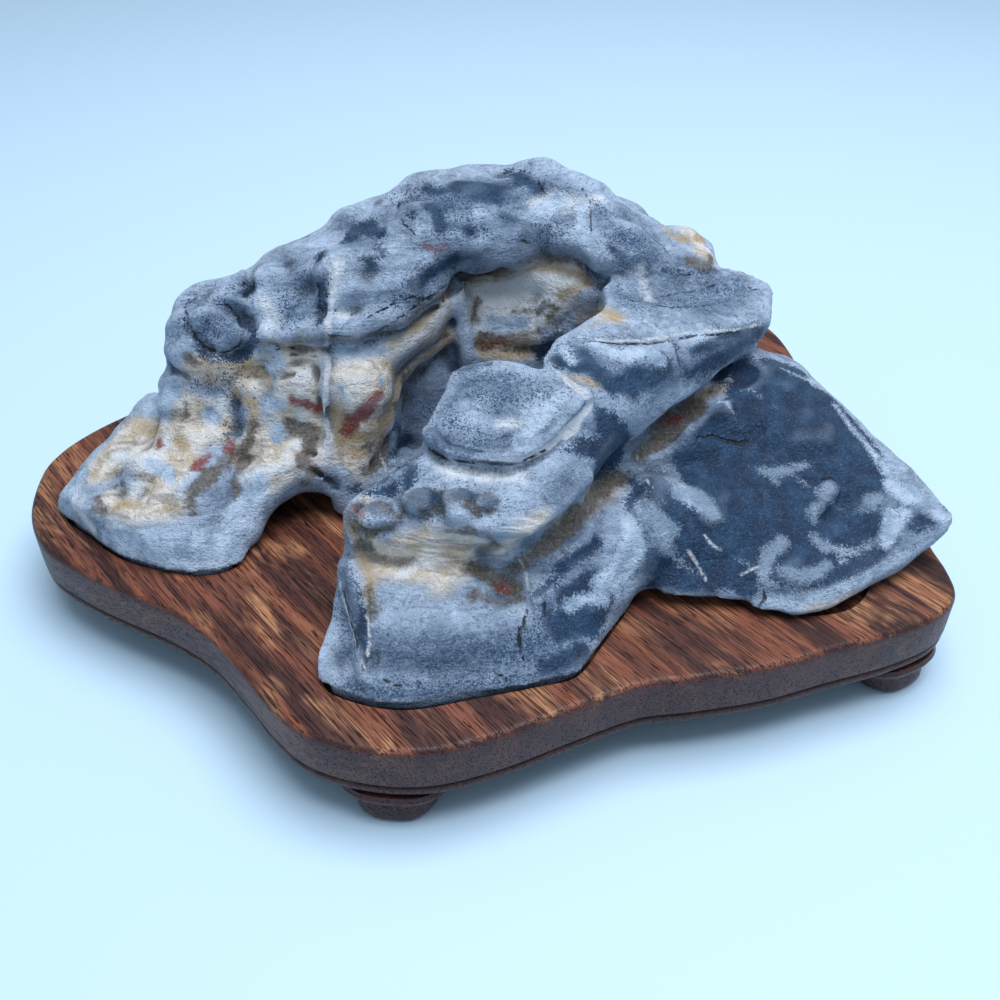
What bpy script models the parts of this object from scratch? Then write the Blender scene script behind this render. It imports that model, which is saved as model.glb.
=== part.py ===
"""Scholar's rock resting in a carved wooden stand.

X runs to the right, Y away from the front of the stand, Z up, with the origin on the ground
under the middle of the whole. Sizes below are in millimetres and are turned into metres where
the meshes are made. The plan is drawn about a point near the middle, MIDDLE away from it, and
the rock's heights are measured from the top of the board.
"""
import math

import bmesh
import bpy
import numpy as np

MM = 0.001
MIDDLE = (0.6, -2.05, 0.0)

# Driving dimensions of the stand.
STAND_HEIGHT = 25.0
BOARD_THICKNESS = 11.5
MOULDING_HEIGHT = 3.2
TOUCHING_GAP = 0.3
BOARD_EDGE_RADIUS = 1.8
SEAT_DEPTH = 2.5
SEAT_CLEARANCE = 1.1
BOARD_CLEARANCE = 1.2

# Driving dimensions of the rock's solid.
GRID_STEP = 1.6
SKIN_STEP = 1.4
ROCK_TRIANGLES = 7000

BOARD_TOP = STAND_HEIGHT
ROCK_LOW = (-116.0, -98.0, -6.0)
ROCK_HIGH = (130.0, 76.0, 86.0)


# ---------------------------------------------------------------- fields of distances
def smooth_min(first, second, blend):
    """The nearer of two distances, with the crease between them rounded over a width."""
    share = np.clip(0.5 + 0.5 * (second - first) / blend, 0.0, 1.0)
    return second + (first - second) * share - blend * share * (1.0 - share)


def smooth_max(first, second, blend):
    return -smooth_min(-first, -second, blend)


def ball(center, radii, turn=0.0):
    """Distance to an ellipsoid turned about the vertical by a number of degrees."""
    cosine, sine = math.cos(math.radians(turn)), math.sin(math.radians(turn))

    def distance(x, y, z):
        along = (x - center[0]) * cosine + (y - center[1]) * sine
        across = (y - center[1]) * cosine - (x - center[0]) * sine
        up = z - center[2]
        near = np.sqrt((along / radii[0]) ** 2 + (across / radii[1]) ** 2 + (up / radii[2]) ** 2)
        steep = np.sqrt((along / radii[0] ** 2) ** 2 + (across / radii[1] ** 2) ** 2
                        + (up / radii[2] ** 2) ** 2)
        return near * (near - 1.0) / np.maximum(steep, 1e-6)

    reach = max(radii[0], radii[1])
    low = (center[0] - reach, center[1] - reach, center[2] - radii[2])
    high = (center[0] + reach, center[1] + reach, center[2] + radii[2])
    return distance, low, high


def limb(*stations):
    """Distance to a round limb through stations of x, y, z and radius."""
    def distance(x, y, z):
        nearest = None
        for start, end in zip(stations[:-1], stations[1:]):
            run = [end[i] - start[i] for i in range(3)]
            length = sum(value * value for value in run)
            share = ((x - start[0]) * run[0] + (y - start[1]) * run[1]
                     + (z - start[2]) * run[2]) / length
            share = np.clip(share, 0.0, 1.0)
            radius = start[3] + (end[3] - start[3]) * share
            gap = np.sqrt((x - start[0] - run[0] * share) ** 2 + (y - start[1] - run[1] * share) ** 2
                          + (z - start[2] - run[2] * share) ** 2) - radius
            nearest = gap if nearest is None else np.minimum(nearest, gap)
        return nearest

    low = [min(point[i] - point[3] for point in stations) for i in range(3)]
    high = [max(point[i] + point[3] for point in stations) for i in range(3)]
    return distance, low, high


def block(corners, rounding):
    """Distance to the convex block that its corners span, with rounded edges."""
    hull = bmesh.new()
    for corner in corners:
        hull.verts.new(corner)
    bmesh.ops.convex_hull(hull, input=hull.verts)
    middle = np.mean(np.array(corners), axis=0)
    planes = []
    for face in hull.faces:
        normal = np.array(face.normal)
        offset = float(normal @ np.array(face.verts[0].co))
        if normal @ middle > offset:
            normal, offset = -normal, -offset
        if not any(np.allclose(normal, other, atol=0.02) for other, _ in planes):
            planes.append((normal, offset))
    hull.free()

    def distance(x, y, z):
        furthest = None
        for normal, offset in planes:
            level = normal[0] * x + normal[1] * y + normal[2] * z - offset
            furthest = level if furthest is None else smooth_max(furthest, level, rounding)
        return furthest

    low = [min(corner[i] for corner in corners) for i in range(3)]
    high = [max(corner[i] for corner in corners) for i in range(3)]
    return distance, low, high


class Stone:
    """A solid kept as distances on a grid: below zero inside it, above zero outside."""

    def __init__(self, low, high, step):
        self.low, self.step = low, step
        self.axes = [np.arange(low[i], high[i] + step, step, dtype=np.float32) for i in range(3)]
        self.values = np.full([len(axis) for axis in self.axes], 60.0, dtype=np.float32)

    def window(self, low, high, margin):
        """The part of the grid around a form, and its coordinates."""
        spans = []
        for i, axis in enumerate(self.axes):
            first = int(np.searchsorted(axis, low[i] - margin))
            last = int(np.searchsorted(axis, high[i] + margin))
            spans.append(slice(first, max(last, first + 1)))
        x, y, z = (axis[span] for axis, span in zip(self.axes, spans))
        return tuple(spans), x[:, None, None], y[None, :, None], z[None, None, :]

    def add(self, form, blend):
        distance, low, high = form
        spans, x, y, z = self.window(low, high, 12.0 + blend)
        self.values[spans] = smooth_min(self.values[spans], distance(x, y, z), blend)

    def cut(self, form, blend):
        distance, low, high = form
        spans, x, y, z = self.window(low, high, 4.0 + blend)
        self.values[spans] = smooth_max(self.values[spans], -distance(x, y, z), blend)


def surface_net(values, low, step):
    """Corner points and four-sided faces of the surface where the grid's values cross zero."""
    inside = values < 0.0
    cells = tuple(size - 1 for size in values.shape)
    total = np.zeros(cells + (3,), dtype=np.float32)
    count = np.zeros(cells, dtype=np.float32)
    for axis in range(3):
        near = [slice(None)] * 3
        far = [slice(None)] * 3
        near[axis], far[axis] = slice(None, -1), slice(1, None)
        first, second = values[tuple(near)], values[tuple(far)]
        crossing = inside[tuple(near)] != inside[tuple(far)]
        share = np.where(crossing, first / np.where(crossing, first - second, 1.0), 0.0)
        others = [other for other in range(3) if other != axis]
        for corner in ((0, 0), (0, 1), (1, 0), (1, 1)):
            pick = [slice(None)] * 3
            for other, side in zip(others, corner):
                pick[other] = slice(side, side + cells[other])
            hit = crossing[tuple(pick)]
            count += hit
            total[..., axis] += share[tuple(pick)]
            for other, side in zip(others, corner):
                total[..., other] += hit * side
    used = count > 0
    number = np.full(cells, -1, dtype=np.int64)
    number[used] = np.arange(int(used.sum()))
    points = np.argwhere(used) + total[used] / count[used][:, None]
    points = points * step + np.array(low)
    faces = []
    for axis in range(3):
        near = [slice(1, -1)] * 3
        far = [slice(1, -1)] * 3
        near[axis], far[axis] = slice(None, -1), slice(1, None)
        leaving = inside[tuple(near)] & ~inside[tuple(far)]
        entering = ~inside[tuple(near)] & inside[tuple(far)]
        second, third = (axis + 1) % 3, (axis + 2) % 3
        for crossing, turned in ((leaving, False), (entering, True)):
            base = np.argwhere(crossing)
            base[:, second] += 1
            base[:, third] += 1
            ring = []
            for back_second, back_third in ((1, 1), (0, 1), (0, 0), (1, 0)):
                cell = base.copy()
                cell[:, second] -= back_second
                cell[:, third] -= back_third
                ring.append(number[cell[:, 0], cell[:, 1], cell[:, 2]])
            faces.append(np.stack(ring[::-1] if turned else ring, axis=1))
    return points, np.concatenate(faces).tolist()


# ---------------------------------------------------------------- the rock
def shape_masses(stone):
    """The rock's main masses, from the back body to the front limb and the right wing."""
    stone.add(block([(-58, 18, -4), (-40, 44, -4), (0, 58, -4), (45, 60, -4), (74, 46, -4),
                     (82, 14, -4), (-52, 16, 42), (-20, 34, 50), (14, 44, 56), (44, 42, 52),
                     (64, 52, 34), (74, 36, 30), (62, 26, 38), (30, 0, -4), (-20, 0, -4),
                     (-20, 14, 10), (35, 6, 30)], 5.0), 4.0)
    # Buttresses down the back.
    stone.add(limb((-44, 34, 0, 10), (-41, 36, 24, 9), (-28, 33, 44, 9)), 6.0)
    stone.add(limb((-4, 50, 0, 11), (2, 48, 30, 11), (8, 42, 50, 10)), 6.0)
    stone.add(limb((30, 56, 0, 9), (38, 50, 28, 10), (40, 40, 52, 10)), 6.0)
    # The long ridge arches over the hollow from the left knob to the right shelf.
    stone.add(limb((-65, 3, 39.5, 11), (-45, 10, 45, 15), (-23, 22, 49, 18), (-4, 27, 55, 18.5),
                   (14, 30, 58, 17.5), (29, 27, 54, 16), (42, 23, 50, 13.2),
                   (55, 22, 45.5, 13)), 5.0)
    stone.add(ball((-24, 8, 50), (19, 13, 14), 10), 4.0)
    stone.add(ball((35, 18, 56), (14, 11.5, 10.5), -10), 4.0)
    # The left column and its spreading foot.
    stone.add(limb((-67, 4, 40, 12.5), (-68, -2, 28, 11), (-70, -10, 12, 14)), 4.0)
    stone.add(block([(-109, -22, 0), (-108, -20, 6), (-105, -16, 8), (-98, -5, 13), (-88, 5, 21),
                     (-101, -30, 0), (-85, -43, 0), (-70, -48, 0), (-61, -48, 0), (-55, -43, 2),
                     (-71, -34, 17), (-60, -34, 14), (-92, 14, -4), (-60, 10, -4), (-62, -8, 26),
                     (-86, -27, 14), (-103, -26.5, 8), (-92, -35.5, 9.5), (-78, -41.5, 9.5),
                     (-64, -43, 8), (-108, -20, -4), (-101, -28, -4), (-85, -41, -4),
                     (-62, -46, -4)], 0.8), 3.0)
    # The wall between the column and the bulging lobe right of it.
    stone.add(block([(-60, -6, 42), (-36, -6, 44), (-20, 0, 44), (-58, -20, 18), (-48, -25, 11),
                     (-38, -26, 9), (-28, -26, 5), (-17, -5, 34), (-20, -16, 10), (-60, 22, 40),
                     (-18, 24, 44), (-60, 22, -4), (-18, 20, -4), (-33, -22, -4),
                     (-24, -26, -4)], 3.0), 4.0)
    stone.add(limb((-54, -3, 38.5, 4.5), (-42, -2.5, 38.5, 5), (-31, -2, 38.5, 5.5)), 2.0)
    stone.add(limb((-31, -2, 39, 6), (-28, -7.5, 31, 9.5), (-28.5, -10, 23, 8.5),
                   (-30, -14.5, 13, 6)), 2.5)
    stone.add(limb((-57, -31, 4, 6), (-53, -25, 10, 6.5), (-46, -20, 14, 6.5),
                   (-38, -19, 13, 5)), 3.0)
    # The front limb: plateau, terrace and apron.
    stone.add(block([(-3, -28, 48), (7, -24, 49), (20, -31, 50), (28, -38, 49), (29, -41, 46),
                     (18, -49, 41), (10, -51, 38), (-3, -48, 37), (-9, -41, 40), (-6, -35, 45),
                     (-14, -28, 18), (28, -26, 18), (31, -48, 18), (-12, -52, 18)], 0.8), 1.5)
    stone.add(block([(-28, -51, 24), (-25, -47, 26), (-14, -47, 31), (-11, -44, 34), (28, -44, 36),
                     (30, -52, 34), (15, -64, 28), (8, -61, 28), (-3, -61, 28), (-14, -60, 25),
                     (-24, -57, 21), (-28, -52, -4), (-28, -62, 4), (-20, -24, -4), (30, -34, -4),
                     (28, -60, 8), (14, -60, 14)], 1.0), 2.0)
    stone.add(block([(-32, -83, 0), (-32, -81, 5), (-26, -87, 0), (-12, -91, 0), (3, -86, 0),
                     (14, -84, 0), (25, -83, 0), (30, -75, 0), (39, -61, 3), (-29, -60, 18),
                     (-24, -64, 18), (-5, -69, 16), (8, -69, 16), (22, -66, 15), (33, -56, 15),
                     (39, -51, 16), (-29, -40, -4), (41, -40, -4), (-31, -82, -4), (-12, -90, -4),
                     (24, -82, -4), (38, -60, -4)], 1.0), 2.0)
    stone.add(block([(-9, -43, 38), (-3, -49, 36.8), (10, -52, 37), (20, -49.5, 39.5),
                     (28, -42, 43), (-14, -58, 26.5), (-4, -61.5, 28), (8, -63.5, 29),
                     (15, -65, 29.5), (21, -58.5, 31), (28, -52, 33.5), (0, -57, 33.8),
                     (10, -58.8, 35.2), (17, -57.5, 36), (24, -50.5, 38), (-10, -54, 32),
                     (-14, -45, 20), (28, -42, 22), (4, -50, 18), (-20, -50, 27.5),
                     (-24, -52, 24.5), (-16, -57, 25)], 1.2), 2.0)
    # The cheek right of the plateau and the shoulder that joins the limb to the wing.
    stone.add(block([(28, -38, 49), (39, -34, 42), (34, -42, 29), (26, -54, 31), (18, -49, 41),
                     (20, -30, 20), (38, -24, 24), (24, -26, 48)], 0.8), 1.5)
    stone.add(limb((32, -42, 8, 15), (44, -40, 9, 13), (58, -38, 8, 12)), 5.0)
    stone.add(limb((36, -20, 24, 13), (56, -14, 22, 14)), 5.0)
    # The wedge between the limb's valley and its right flank, and the pale saddle beyond.
    stone.add(block([(42, -48, 20), (35, -53.5, 19), (28, -60, 16.5), (17, -70.5, 12.5),
                     (36, -44, 14), (20, -58, 10), (47, -52, 8), (38, -61, 5), (27, -73, 4),
                     (18, -74, 8), (30, -50, 0), (44, -48, 0), (24, -66, 0)], 0.8), 2.0)
    stone.add(limb((46, -39, 19, 5), (44.5, -46, 15.5, 5), (41, -52, 9, 5)), 3.0)
    # The shelf that juts out to the right over the wing.
    stone.add(block([(33, 1, 56), (51, 22, 54), (60, 19, 52), (75, 21, 49), (82, 20, 46),
                     (80, 4, 45), (55, -8, 50), (30, -16, 54), (18, -29, 51), (27, -37, 50),
                     (39, -34, 42), (79, 2, 41),
                     (75, -2, 38), (64, -12, 36), (53, -17, 36), (45, -26, 35), (40, -33, 32),
                     (34, -42, 28), (58, 14, 36), (76, 12, 38), (28, -4, 34), (28, -30, 24)],
                    0.6), 2.0)
    # The dark wing, a slab that rises to a crest and ends in a tip past the board.
    stone.add(block([(73, 6, 35), (76, -2, 35), (89, -1, 30), (96, -8, 27), (105, -17, 22),
                     (110, -27, 17), (119, -32, 14), (122, -37, 11), (120, -39.5, 8),
                     (112, -41.5, 8.5), (101, -50, 7.5), (90, -56.5, 7), (112, -43.5, 4),
                     (98, -53.5, 2), (88, -60, 2), (79, -63.5, 2), (68, -61, 2), (57, -58, 3),
                     (44, -56, 4), (88, 12, 29), (100, 2, 8), (95, 16, 3), (70, 32, 3),
                     (44, -8, 26), (40, -36, 18), (88, -50, -4), (60, -30, -4), (84, 0, -4)],
                    0.8), 3.0)
    stone.add(ball((60, 46, 37), (13, 14, 14)), 4.0)
    # The heart of the stone, low down between the feet.
    stone.add(block([(-5, -36, -4), (70, -34, -4), (72, 16, -4), (-5, 10, -4), (0, -30, 13),
                     (60, -26, 18), (64, 10, 20), (5, 6, 12)], 3.0), 4.0)


def shape_hollows(stone):
    """The hollows, arches and undercuts."""
    # The central basin under the ridge and the deep recess left of the front limb.
    stone.cut(ball((9, -1, 40), (26, 23.5, 24), 25), 3.0)
    stone.add(block([(-7, 12, 21), (-2, 10, 21), (22, 9.5, 21), (36, 5, 21), (-7, 12, 46),
                     (-2, 11, 50), (24, 9.5, 52), (36, 5, 50), (-7, 32, 21), (36, 32, 21),
                     (-7, 32, 46), (36, 32, 52)], 0.8), 2.0)
    stone.cut(ball((11, -3, 56), (23, 19.5, 26)), 1.5)
    # The tan band that runs down from the basin under the ridge's lip.
    stone.add(limb((-20.5, -0.5, 37.5, 6.5), (-15.5, 3.8, 40, 6.5), (-10.5, 8.6, 43, 6.5),
                   (-5.5, 12.8, 45, 5)), 2.0)
    stone.cut(ball((-11, -12, 23), (9, 19, 17), -15), 4.0)
    stone.add(ball((-10, -14, -4), (24, 24, 12)), 3.0)
    # The low arch between the left foot and the front limb.
    stone.cut(ball((-42, -30, -4), (13, 24, 12.5), 10), 2.0)
    # The gap under the wing's front edge.
    stone.cut(ball((61, -60, -6), (20, 16, 8.5)), 1.5)
    # The scoop in the front face under the terrace's lip.
    stone.cut(ball((0, -75, 22), (19, 8, 7), 4), 3.0)
    # The valley between the front limb and the wing.
    stone.cut(limb((36, -66, 34, 9), (36, -52, 29, 8), (40, -40, 28, 6)), 4.0)


# Rounded lumps: the middle, the three radii and the turn about the vertical.
LUMPS = {
    "ridge_top_left": ((-12, 16, 60), (13, 9, 10), 10),
    "ridge_top_middle": ((1, 18, 61), (12, 9, 11), 0),
    "ridge_top_right": ((13, 21, 62), (11, 9, 11), -10),
    "ridge_crown_left": ((-9, 28, 70), (7, 6, 4), 0),
    "ridge_crown_right": ((18, 31, 72), (6, 5, 4), 0),
    "ridge_step": ((-34, 14, 55), (9, 8, 8), 20),
    "ridge_left_slope": ((-50, 6, 52), (8, 8, 7), 0),
    "knob_end": ((-61, -1.5, 45), (9.5, 8, 8.5), 0),
    "knob_back": ((-71.5, 4, 39), (8, 7, 8), 0),
    "knob_top": ((-60, 5, 50), (5, 4, 3.5), 0),
    "column_middle": ((-73, -6, 27), (8, 8, 8), 0),
    "column_disc": ((-66, -13.5, 28.5), (2.6, 2.2, 2.6), 0),
    "foot_crater_rim": ((-83, -24, 13), (7, 6, 5), 0),
    "foot_ridge_low": ((-95, -9, 9), (6, 5, 4), 0),
    "wall_pillow": ((-44, -10.5, 30), (7, 5.5, 7.5), 0),
    "wall_lobe": ((-27.5, -9.5, 31), (8.5, 8, 7), 0),
    "apron_belly": ((-5, -72, 6), (18, 10, 8), 0),
    "terrace_nodule_end": ((-18, -56, 27), (5.5, 4, 2.6), 0),
    "terrace_nodule_left": ((-9.5, -56, 31), (4.5, 3.2, 2.6), 0),
    "terrace_nodule_middle": ((-0.5, -57.5, 33), (3.6, 2.6, 2.2), 0),
    "terrace_nodule_right": ((5.5, -59, 33.2), (2.8, 2.2, 2), 0),
    "terrace_nodule_low": ((0, -61, 31), (2.8, 2, 1.8), 0),
    "basin_nodule_high": ((20.5, 12.5, 43), (2.5, 2.4, 2.2), 0),
    "basin_nodule_low": ((20.6, 10.8, 39.4), (1.9, 2, 1.8), 0),
    "basin_nodule_right": ((24.5, 11, 42), (2.2, 2.2, 2), 0),
    "recess_nodule_left": ((-22, -14, 6), (4, 4, 4), 0),
    "recess_nodule_right": ((-17, -12, 10), (3.5, 3.5, 3.5), 0),
    "wing_kidney_high": ((89.5, -34.8, 17.6), (3.2, 3, 2.6), 0),
    "wing_kidney_low": ((86, -39, 15.2), (2.8, 2.8, 2.4), 0),
    "wing_swell_high": ((84, -16, 21), (12, 10, 8), -20),
    "wing_swell_low": ((79, -51, 5.5), (10, 7, 5), 0),
    "back_swell_left": ((-24, 42, 16), (9, 8, 8), 20),
    "back_swell_middle": ((16, 55, 20), (8, 6, 9), 0),
    "back_swell_right": ((58, 52, 12), (11, 8, 10), -10),
    "back_knob": ((-8, 44, 46), (7, 6, 6), 0),
}
# Raised rolls: their radius and their path.
ROLLS = {
    "ridge_lip_left": (4.0, [(-52, -5.5, 45), (-45, -5, 46.5), (-36, -5, 45.5), (-28, -6, 46.5),
                             (-19, -2, 48), (-12, 6, 50.5)]),
    "ridge_lip_right": (3.0, [(-12, 6, 51), (-4, 14, 56), (6, 18, 59), (18, 18, 60),
                              (29, 13, 60)]),
    "ridge_vein": (0.9, [(-34.5, 6, 61.6), (-34, -1.6, 57.8), (-34, -3.6, 53.8),
                         (-34, -7.6, 48.6)]),
    "left_facet_edge": (1.0, [(-25.5, -56, 18.4), (-24.8, -61, 16.8), (-24, -67, 13.8),
                              (-23, -74, 8.8), (-22, -80, 6.6), (-21, -84, 4.6)]),
    "wall_vein": (0.9, [(-36, -8, 41), (-36, -11.5, 36), (-36, -16, 29), (-35.5, -18.5, 21),
                        (-35, -21, 13)]),
    "lobe_stem": (5.5, [(-30, -15.5, 13), (-30.5, -20, 4)]),
    "basin_rim": (3.6, [(-23, -9, 20), (-22, -7, 24), (-20.5, -1, 29), (-16.5, 5, 32),
                        (-11.5, 9, 34.5), (-6.5, 12, 37)]),
    "basin_divider": (3.2, [(-2.5, 12.8, 49.5), (-2, 11.4, 45), (-1, 10.4, 41), (-0.4, 10, 36),
                            (0.2, 10.2, 31.5), (0.8, 10.5, 26)]),
    "basin_ledge": (1.5, [(1, 11, 28.5), (9, 10.6, 27.5), (17, 10.2, 27.5), (24, 9.8, 29)]),
    "plateau_rim": (1.7, [(-8, -42, 39.5), (-3, -47, 38), (4, -49.5, 38), (10, -50.5, 38.5),
                          (14, -50, 39.5), (19, -48.5, 41.5), (23, -45, 44.5), (28, -40, 48)]),
    "terrace_lip": (2.4, [(6, -62, 28), (14, -63, 28.5), (21, -57.5, 30), (27, -51, 33)]),
    "scoop_edge": (1.6, [(8, -62, 25), (12, -67, 20), (15, -70, 14)]),
}
# Grooves and undercuts: their radius and their path.
GROOVES = {
    "under_ridge_lip": (1.6, [(-53, -9, 41), (-45, -8.3, 42), (-36, -8.6, 42), (-28, -9.5, 43),
                              (-22, -7, 44), (-17, -4, 44.5), (-12, 1, 46), (-8, 7, 48)]),
    "under_ridge_right": (1.6, [(-8, 7, 48), (-3, 13, 51), (4, 16.5, 53), (11, 17.5, 54)]),
    "knob_ring": (0.9, [(-71, -3, 50), (-69, -7, 47), (-66, -8, 43), (-63, -9, 41), (-60, -8, 39),
                        (-56, -7, 39.5), (-53, -7, 43), (-54, -5, 47), (-57, -3, 50),
                        (-61, -2, 52), (-67, -2, 52), (-71, -3, 50)]),
    "under_knob": (2.4, [(-76, -7, 36), (-70, -12, 36), (-62, -13, 35.5), (-53, -10, 36)]),
    "ridge_crease_top": (1.5, [(-31, 3, 65), (-21, 1, 62.5), (-10, 5, 61.5), (-2, 8, 58),
                               (9, 9, 61.5), (21, 11, 63)]),
    "ridge_saddle": (2.4, [(28, 25, 75), (28, 13, 70), (27, 8, 62)]),
    "ridge_crease_right": (1.2, [(34, 14, 72), (44, 7, 68), (52, 9, 62)]),
    "ridge_notch": (2.0, [(-24, 24, 69), (-27, 12, 67), (-30, 4, 65)]),
    "ridge_left_notch": (1.2, [(-57, 12, 58.5), (-55, 5, 56), (-54.5, -2.5, 52)]),
    "wall_band_high": (0.8, [(-53, -8.5, 39), (-38, -9, 38.5)]),
    "wall_band_low": (0.8, [(-53, -10.5, 36), (-42, -11, 36)]),
    "under_lobe": (2.2, [(-24, -18.5, 14), (-20.5, -14, 15), (-19, -7, 17)]),
    "arch_ledge_high": (0.8, [(-53, -25.5, 18), (-49, -24, 19.5), (-45, -22.5, 20.5),
                              (-42, -20.5, 19.5), (-38, -20, 17), (-35, -21, 14)]),
    "arch_ledge_low": (0.9, [(-50, -29.5, 14), (-47, -27.5, 16), (-44, -25.8, 16.3),
                             (-40, -24.2, 16), (-37, -22.3, 13), (-34, -23.5, 10)]),
    "basin_undercut": (2.2, [(4, 8, 33), (10, 7.6, 32.4), (17, 7.2, 32.4), (28, 6, 34)]),
    "under_plateau": (1.3, [(-11, -43.5, 37.5), (-9, -45, 37), (-3, -50, 36.2), (4, -52.3, 36.4),
                            (10, -53.2, 36.8), (14, -52.6, 38), (19, -51, 40), (24, -47, 43),
                            (28.5, -41.5, 46.5)]),
    "plateau_ledge_back": (0.9, [(-4, -33, 46.5), (8, -31, 48), (20, -35, 50)]),
    "plateau_ledge_front": (0.8, [(-6, -40, 42.5), (6, -40, 44.5), (18, -43, 46)]),
    "under_terrace": (4.6, [(5, -66, 21), (13, -67, 22), (20, -62, 23), (27, -55, 25)]),
    "scoop_ledge": (1.1, [(-24, -59, 20), (-14, -61, 23.5), (-3, -63, 26), (6, -64, 26)]),
    "limb_valley": (5.0, [(38, -38, 27), (32, -53, 28), (27, -61, 25), (22, -68, 19)]),
    "apron_crease": (1.0, [(13, -71, 15), (14, -76.5, 9.5), (16, -80.5, 5.5), (18, -84, 2)]),
    "left_facet": (4.0, [(-31.5, -56, 16.5), (-30.6, -65.5, 14.4), (-29.4, -72, 11.2),
                         (-28, -79, 8), (-27, -85, 5.5)]),
    "shelf_edge_line": (1.2, [(30, -21.5, 53.5), (37, -20.5, 51.6), (42, -19.5, 50.6),
                              (50, -15.5, 49.6), (58, -11.5, 48.6), (69, -5.5, 45.6)]),
    "shelf_ledge": (0.9, [(33, -6, 56), (44, 4, 54.5), (58, 6, 52.5), (72, 8, 49.5)]),
    "wing_crest_line": (1.0, [(92, -16, 28), (100, -23, 23.5), (107, -31, 18.5)]),
    "wing_fold": (0.8, [(52, -43.5, 21), (56, -47.5, 16), (62, -51, 11.5), (68, -56, 7)]),
    "wing_step": (1.0, [(57, -27, 29), (61, -26, 29), (65, -25, 27.5), (69, -23, 25.5),
                        (74, -20, 25.5)]),
    "wing_ring": (1.1, [(88, -30, 20.5), (92, -32, 19.7), (93.5, -34.5, 17.7), (92, -38, 15.5),
                        (89, -41, 14.5), (86, -43.5, 14.5)]),
    "under_shelf": (4.0, [(42, -33, 28), (52, -22, 31), (62, -14, 33), (72, -6, 35)]),
    "shelf_crease": (0.9, [(50.5, -14, 50), (52, -18.5, 46.5), (53, -21, 42)]),
    "back_crease_left": (2.2, [(-30, 38, 50), (-30, 46, 34), (-33, 48, 12)]),
    "back_crease_middle": (2.4, [(22, 46, 60), (18, 58, 40), (20, 63, 12)]),
    "back_crease_right": (2.4, [(50, 44, 50), (52, 58, 32), (48, 64, 12)]),
    "back_ledge_high": (1.6, [(-56, 26, 34), (-40, 42, 33), (-14, 50, 36), (6, 60, 38),
                              (30, 60, 37), (50, 58, 26)]),
    "back_ledge_low": (1.8, [(-56, 34, 14), (-38, 48, 12), (-10, 58, 15), (12, 64, 13),
                             (40, 66, 16), (62, 60, 8)]),
}
# Pits and hollows: the middle, the three radii and the turn about the vertical.
PITS = {
    "knob_facet": ((-62.5, -27, 61.5), (25.4, 25.4, 25.4), 0),
    "knob_step": ((-71.5, 3, 60), (8.5, 10, 10.5), 0),
    "ridge_facet_left": ((-45.5, -21, 67.8), (25, 25, 25), 0),
    "ridge_patch_left": ((-26, 2, 65), (5, 4, 3), 0),
    "ridge_patch_low": ((-24, -2, 60), (4, 3, 3), 0),
    "ridge_patch_top": ((12, 27, 76), (6, 5, 2.5), 0),
    "foot_crater": ((-83, -30, 17), (3, 3, 2.4), 0),
    "foot_hollow_front": ((-76, -42, 24), (10, 12, 12), 0),
    "foot_hollow_right": ((-50, -40, 22), (8, 10, 10), 0),
    "scoop_end": ((11, -69, 17), (6, 6, 5), 0),
    "shelf_dish": ((52, 4, 58), (17, 9, 6), 15),
    "wing_dip": ((69, -35.5, 34.5), (16, 16, 16), 0),
    "wing_dip_low": ((70, -56, 21), (11, 14, 12), 0),
    "wing_dip_ring": ((95, -43.5, 21), (8, 8, 8), 0),
    "wing_tip_dip": ((108, -38, 18), (8, 4, 3), -20),
    "back_hollow_high": ((-18, 50, 30), (8, 7, 10), 10),
    "back_hollow_right": ((58, 64, 26), (8, 8, 6), -20),
    "back_low_arch": ((-20, 60, -3), (13, 13, 13), 0),
}
# Ripples of the worn skin: their wavelength and height.
RIPPLES = ((26.0, 0.9), (13.0, 0.75), (7.0, 0.4))
SMOOTH_SHARE = 0.35
ROUGH_SPINE = ((-84, -14, 8, 10), (-70, 0, 34, 12), (-45, 13, 48, 16), (-4, 26, 56, 18),
               (43, 24, 54, 15), (60, 48, 30, 18), (0, 50, 20, 20), (-42, 34, 16, 16))
ROUGH_REACH = 12.0
RIPPLE_WAVES = 9
RIPPLE_SEED = 11

# Where the rock sits in the board: the outline of each of its feet at the board's top.
SEATS = {
    "left": [(-106, -21), (-98, -30), (-86, -39.5), (-72, -44.5), (-63, -45), (-58, -41),
             (-59, -28), (-60, -8), (-63, 6), (-76, 9), (-90, 10), (-99, -3)],
    "front": [(-30, -80), (-25, -85.5), (-12, -88.5), (4, -85), (16, -82), (25, -79), (31, -70),
              (38, -58), (40, -51), (28, -45), (-10, -44), (-27, -46), (-29, -62)],
    "right": [(76, -58), (84, -59.5), (93, -56.5), (98.5, -48), (93, -42), (80, -44), (74, -50)],
    "back": [(-48, 6), (-28, 6), (-4, 6), (26, 6), (58, 12), (78, 14), (79, 24), (73, 36),
             (66, 45), (52, 51), (36, 55), (14, 55.5), (-2, 51), (-14, 46), (-28, 43), (-42, 34),
             (-51, 23), (-55, 16)],
}


def ripples(x, y, z):
    """Seeded waves in all directions that roughen the worn skin."""
    chance = np.random.default_rng(RIPPLE_SEED)
    total = 0.0
    for length, height in RIPPLES:
        for _ in range(RIPPLE_WAVES):
            way = chance.normal(size=3)
            way *= 2.0 * math.pi / (length * np.linalg.norm(way))
            phase = chance.uniform(0.0, 2.0 * math.pi)
            total = total + height / math.sqrt(RIPPLE_WAVES) * np.sin(
                way[0] * x + way[1] * y + way[2] * z + phase)
    return total


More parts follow.
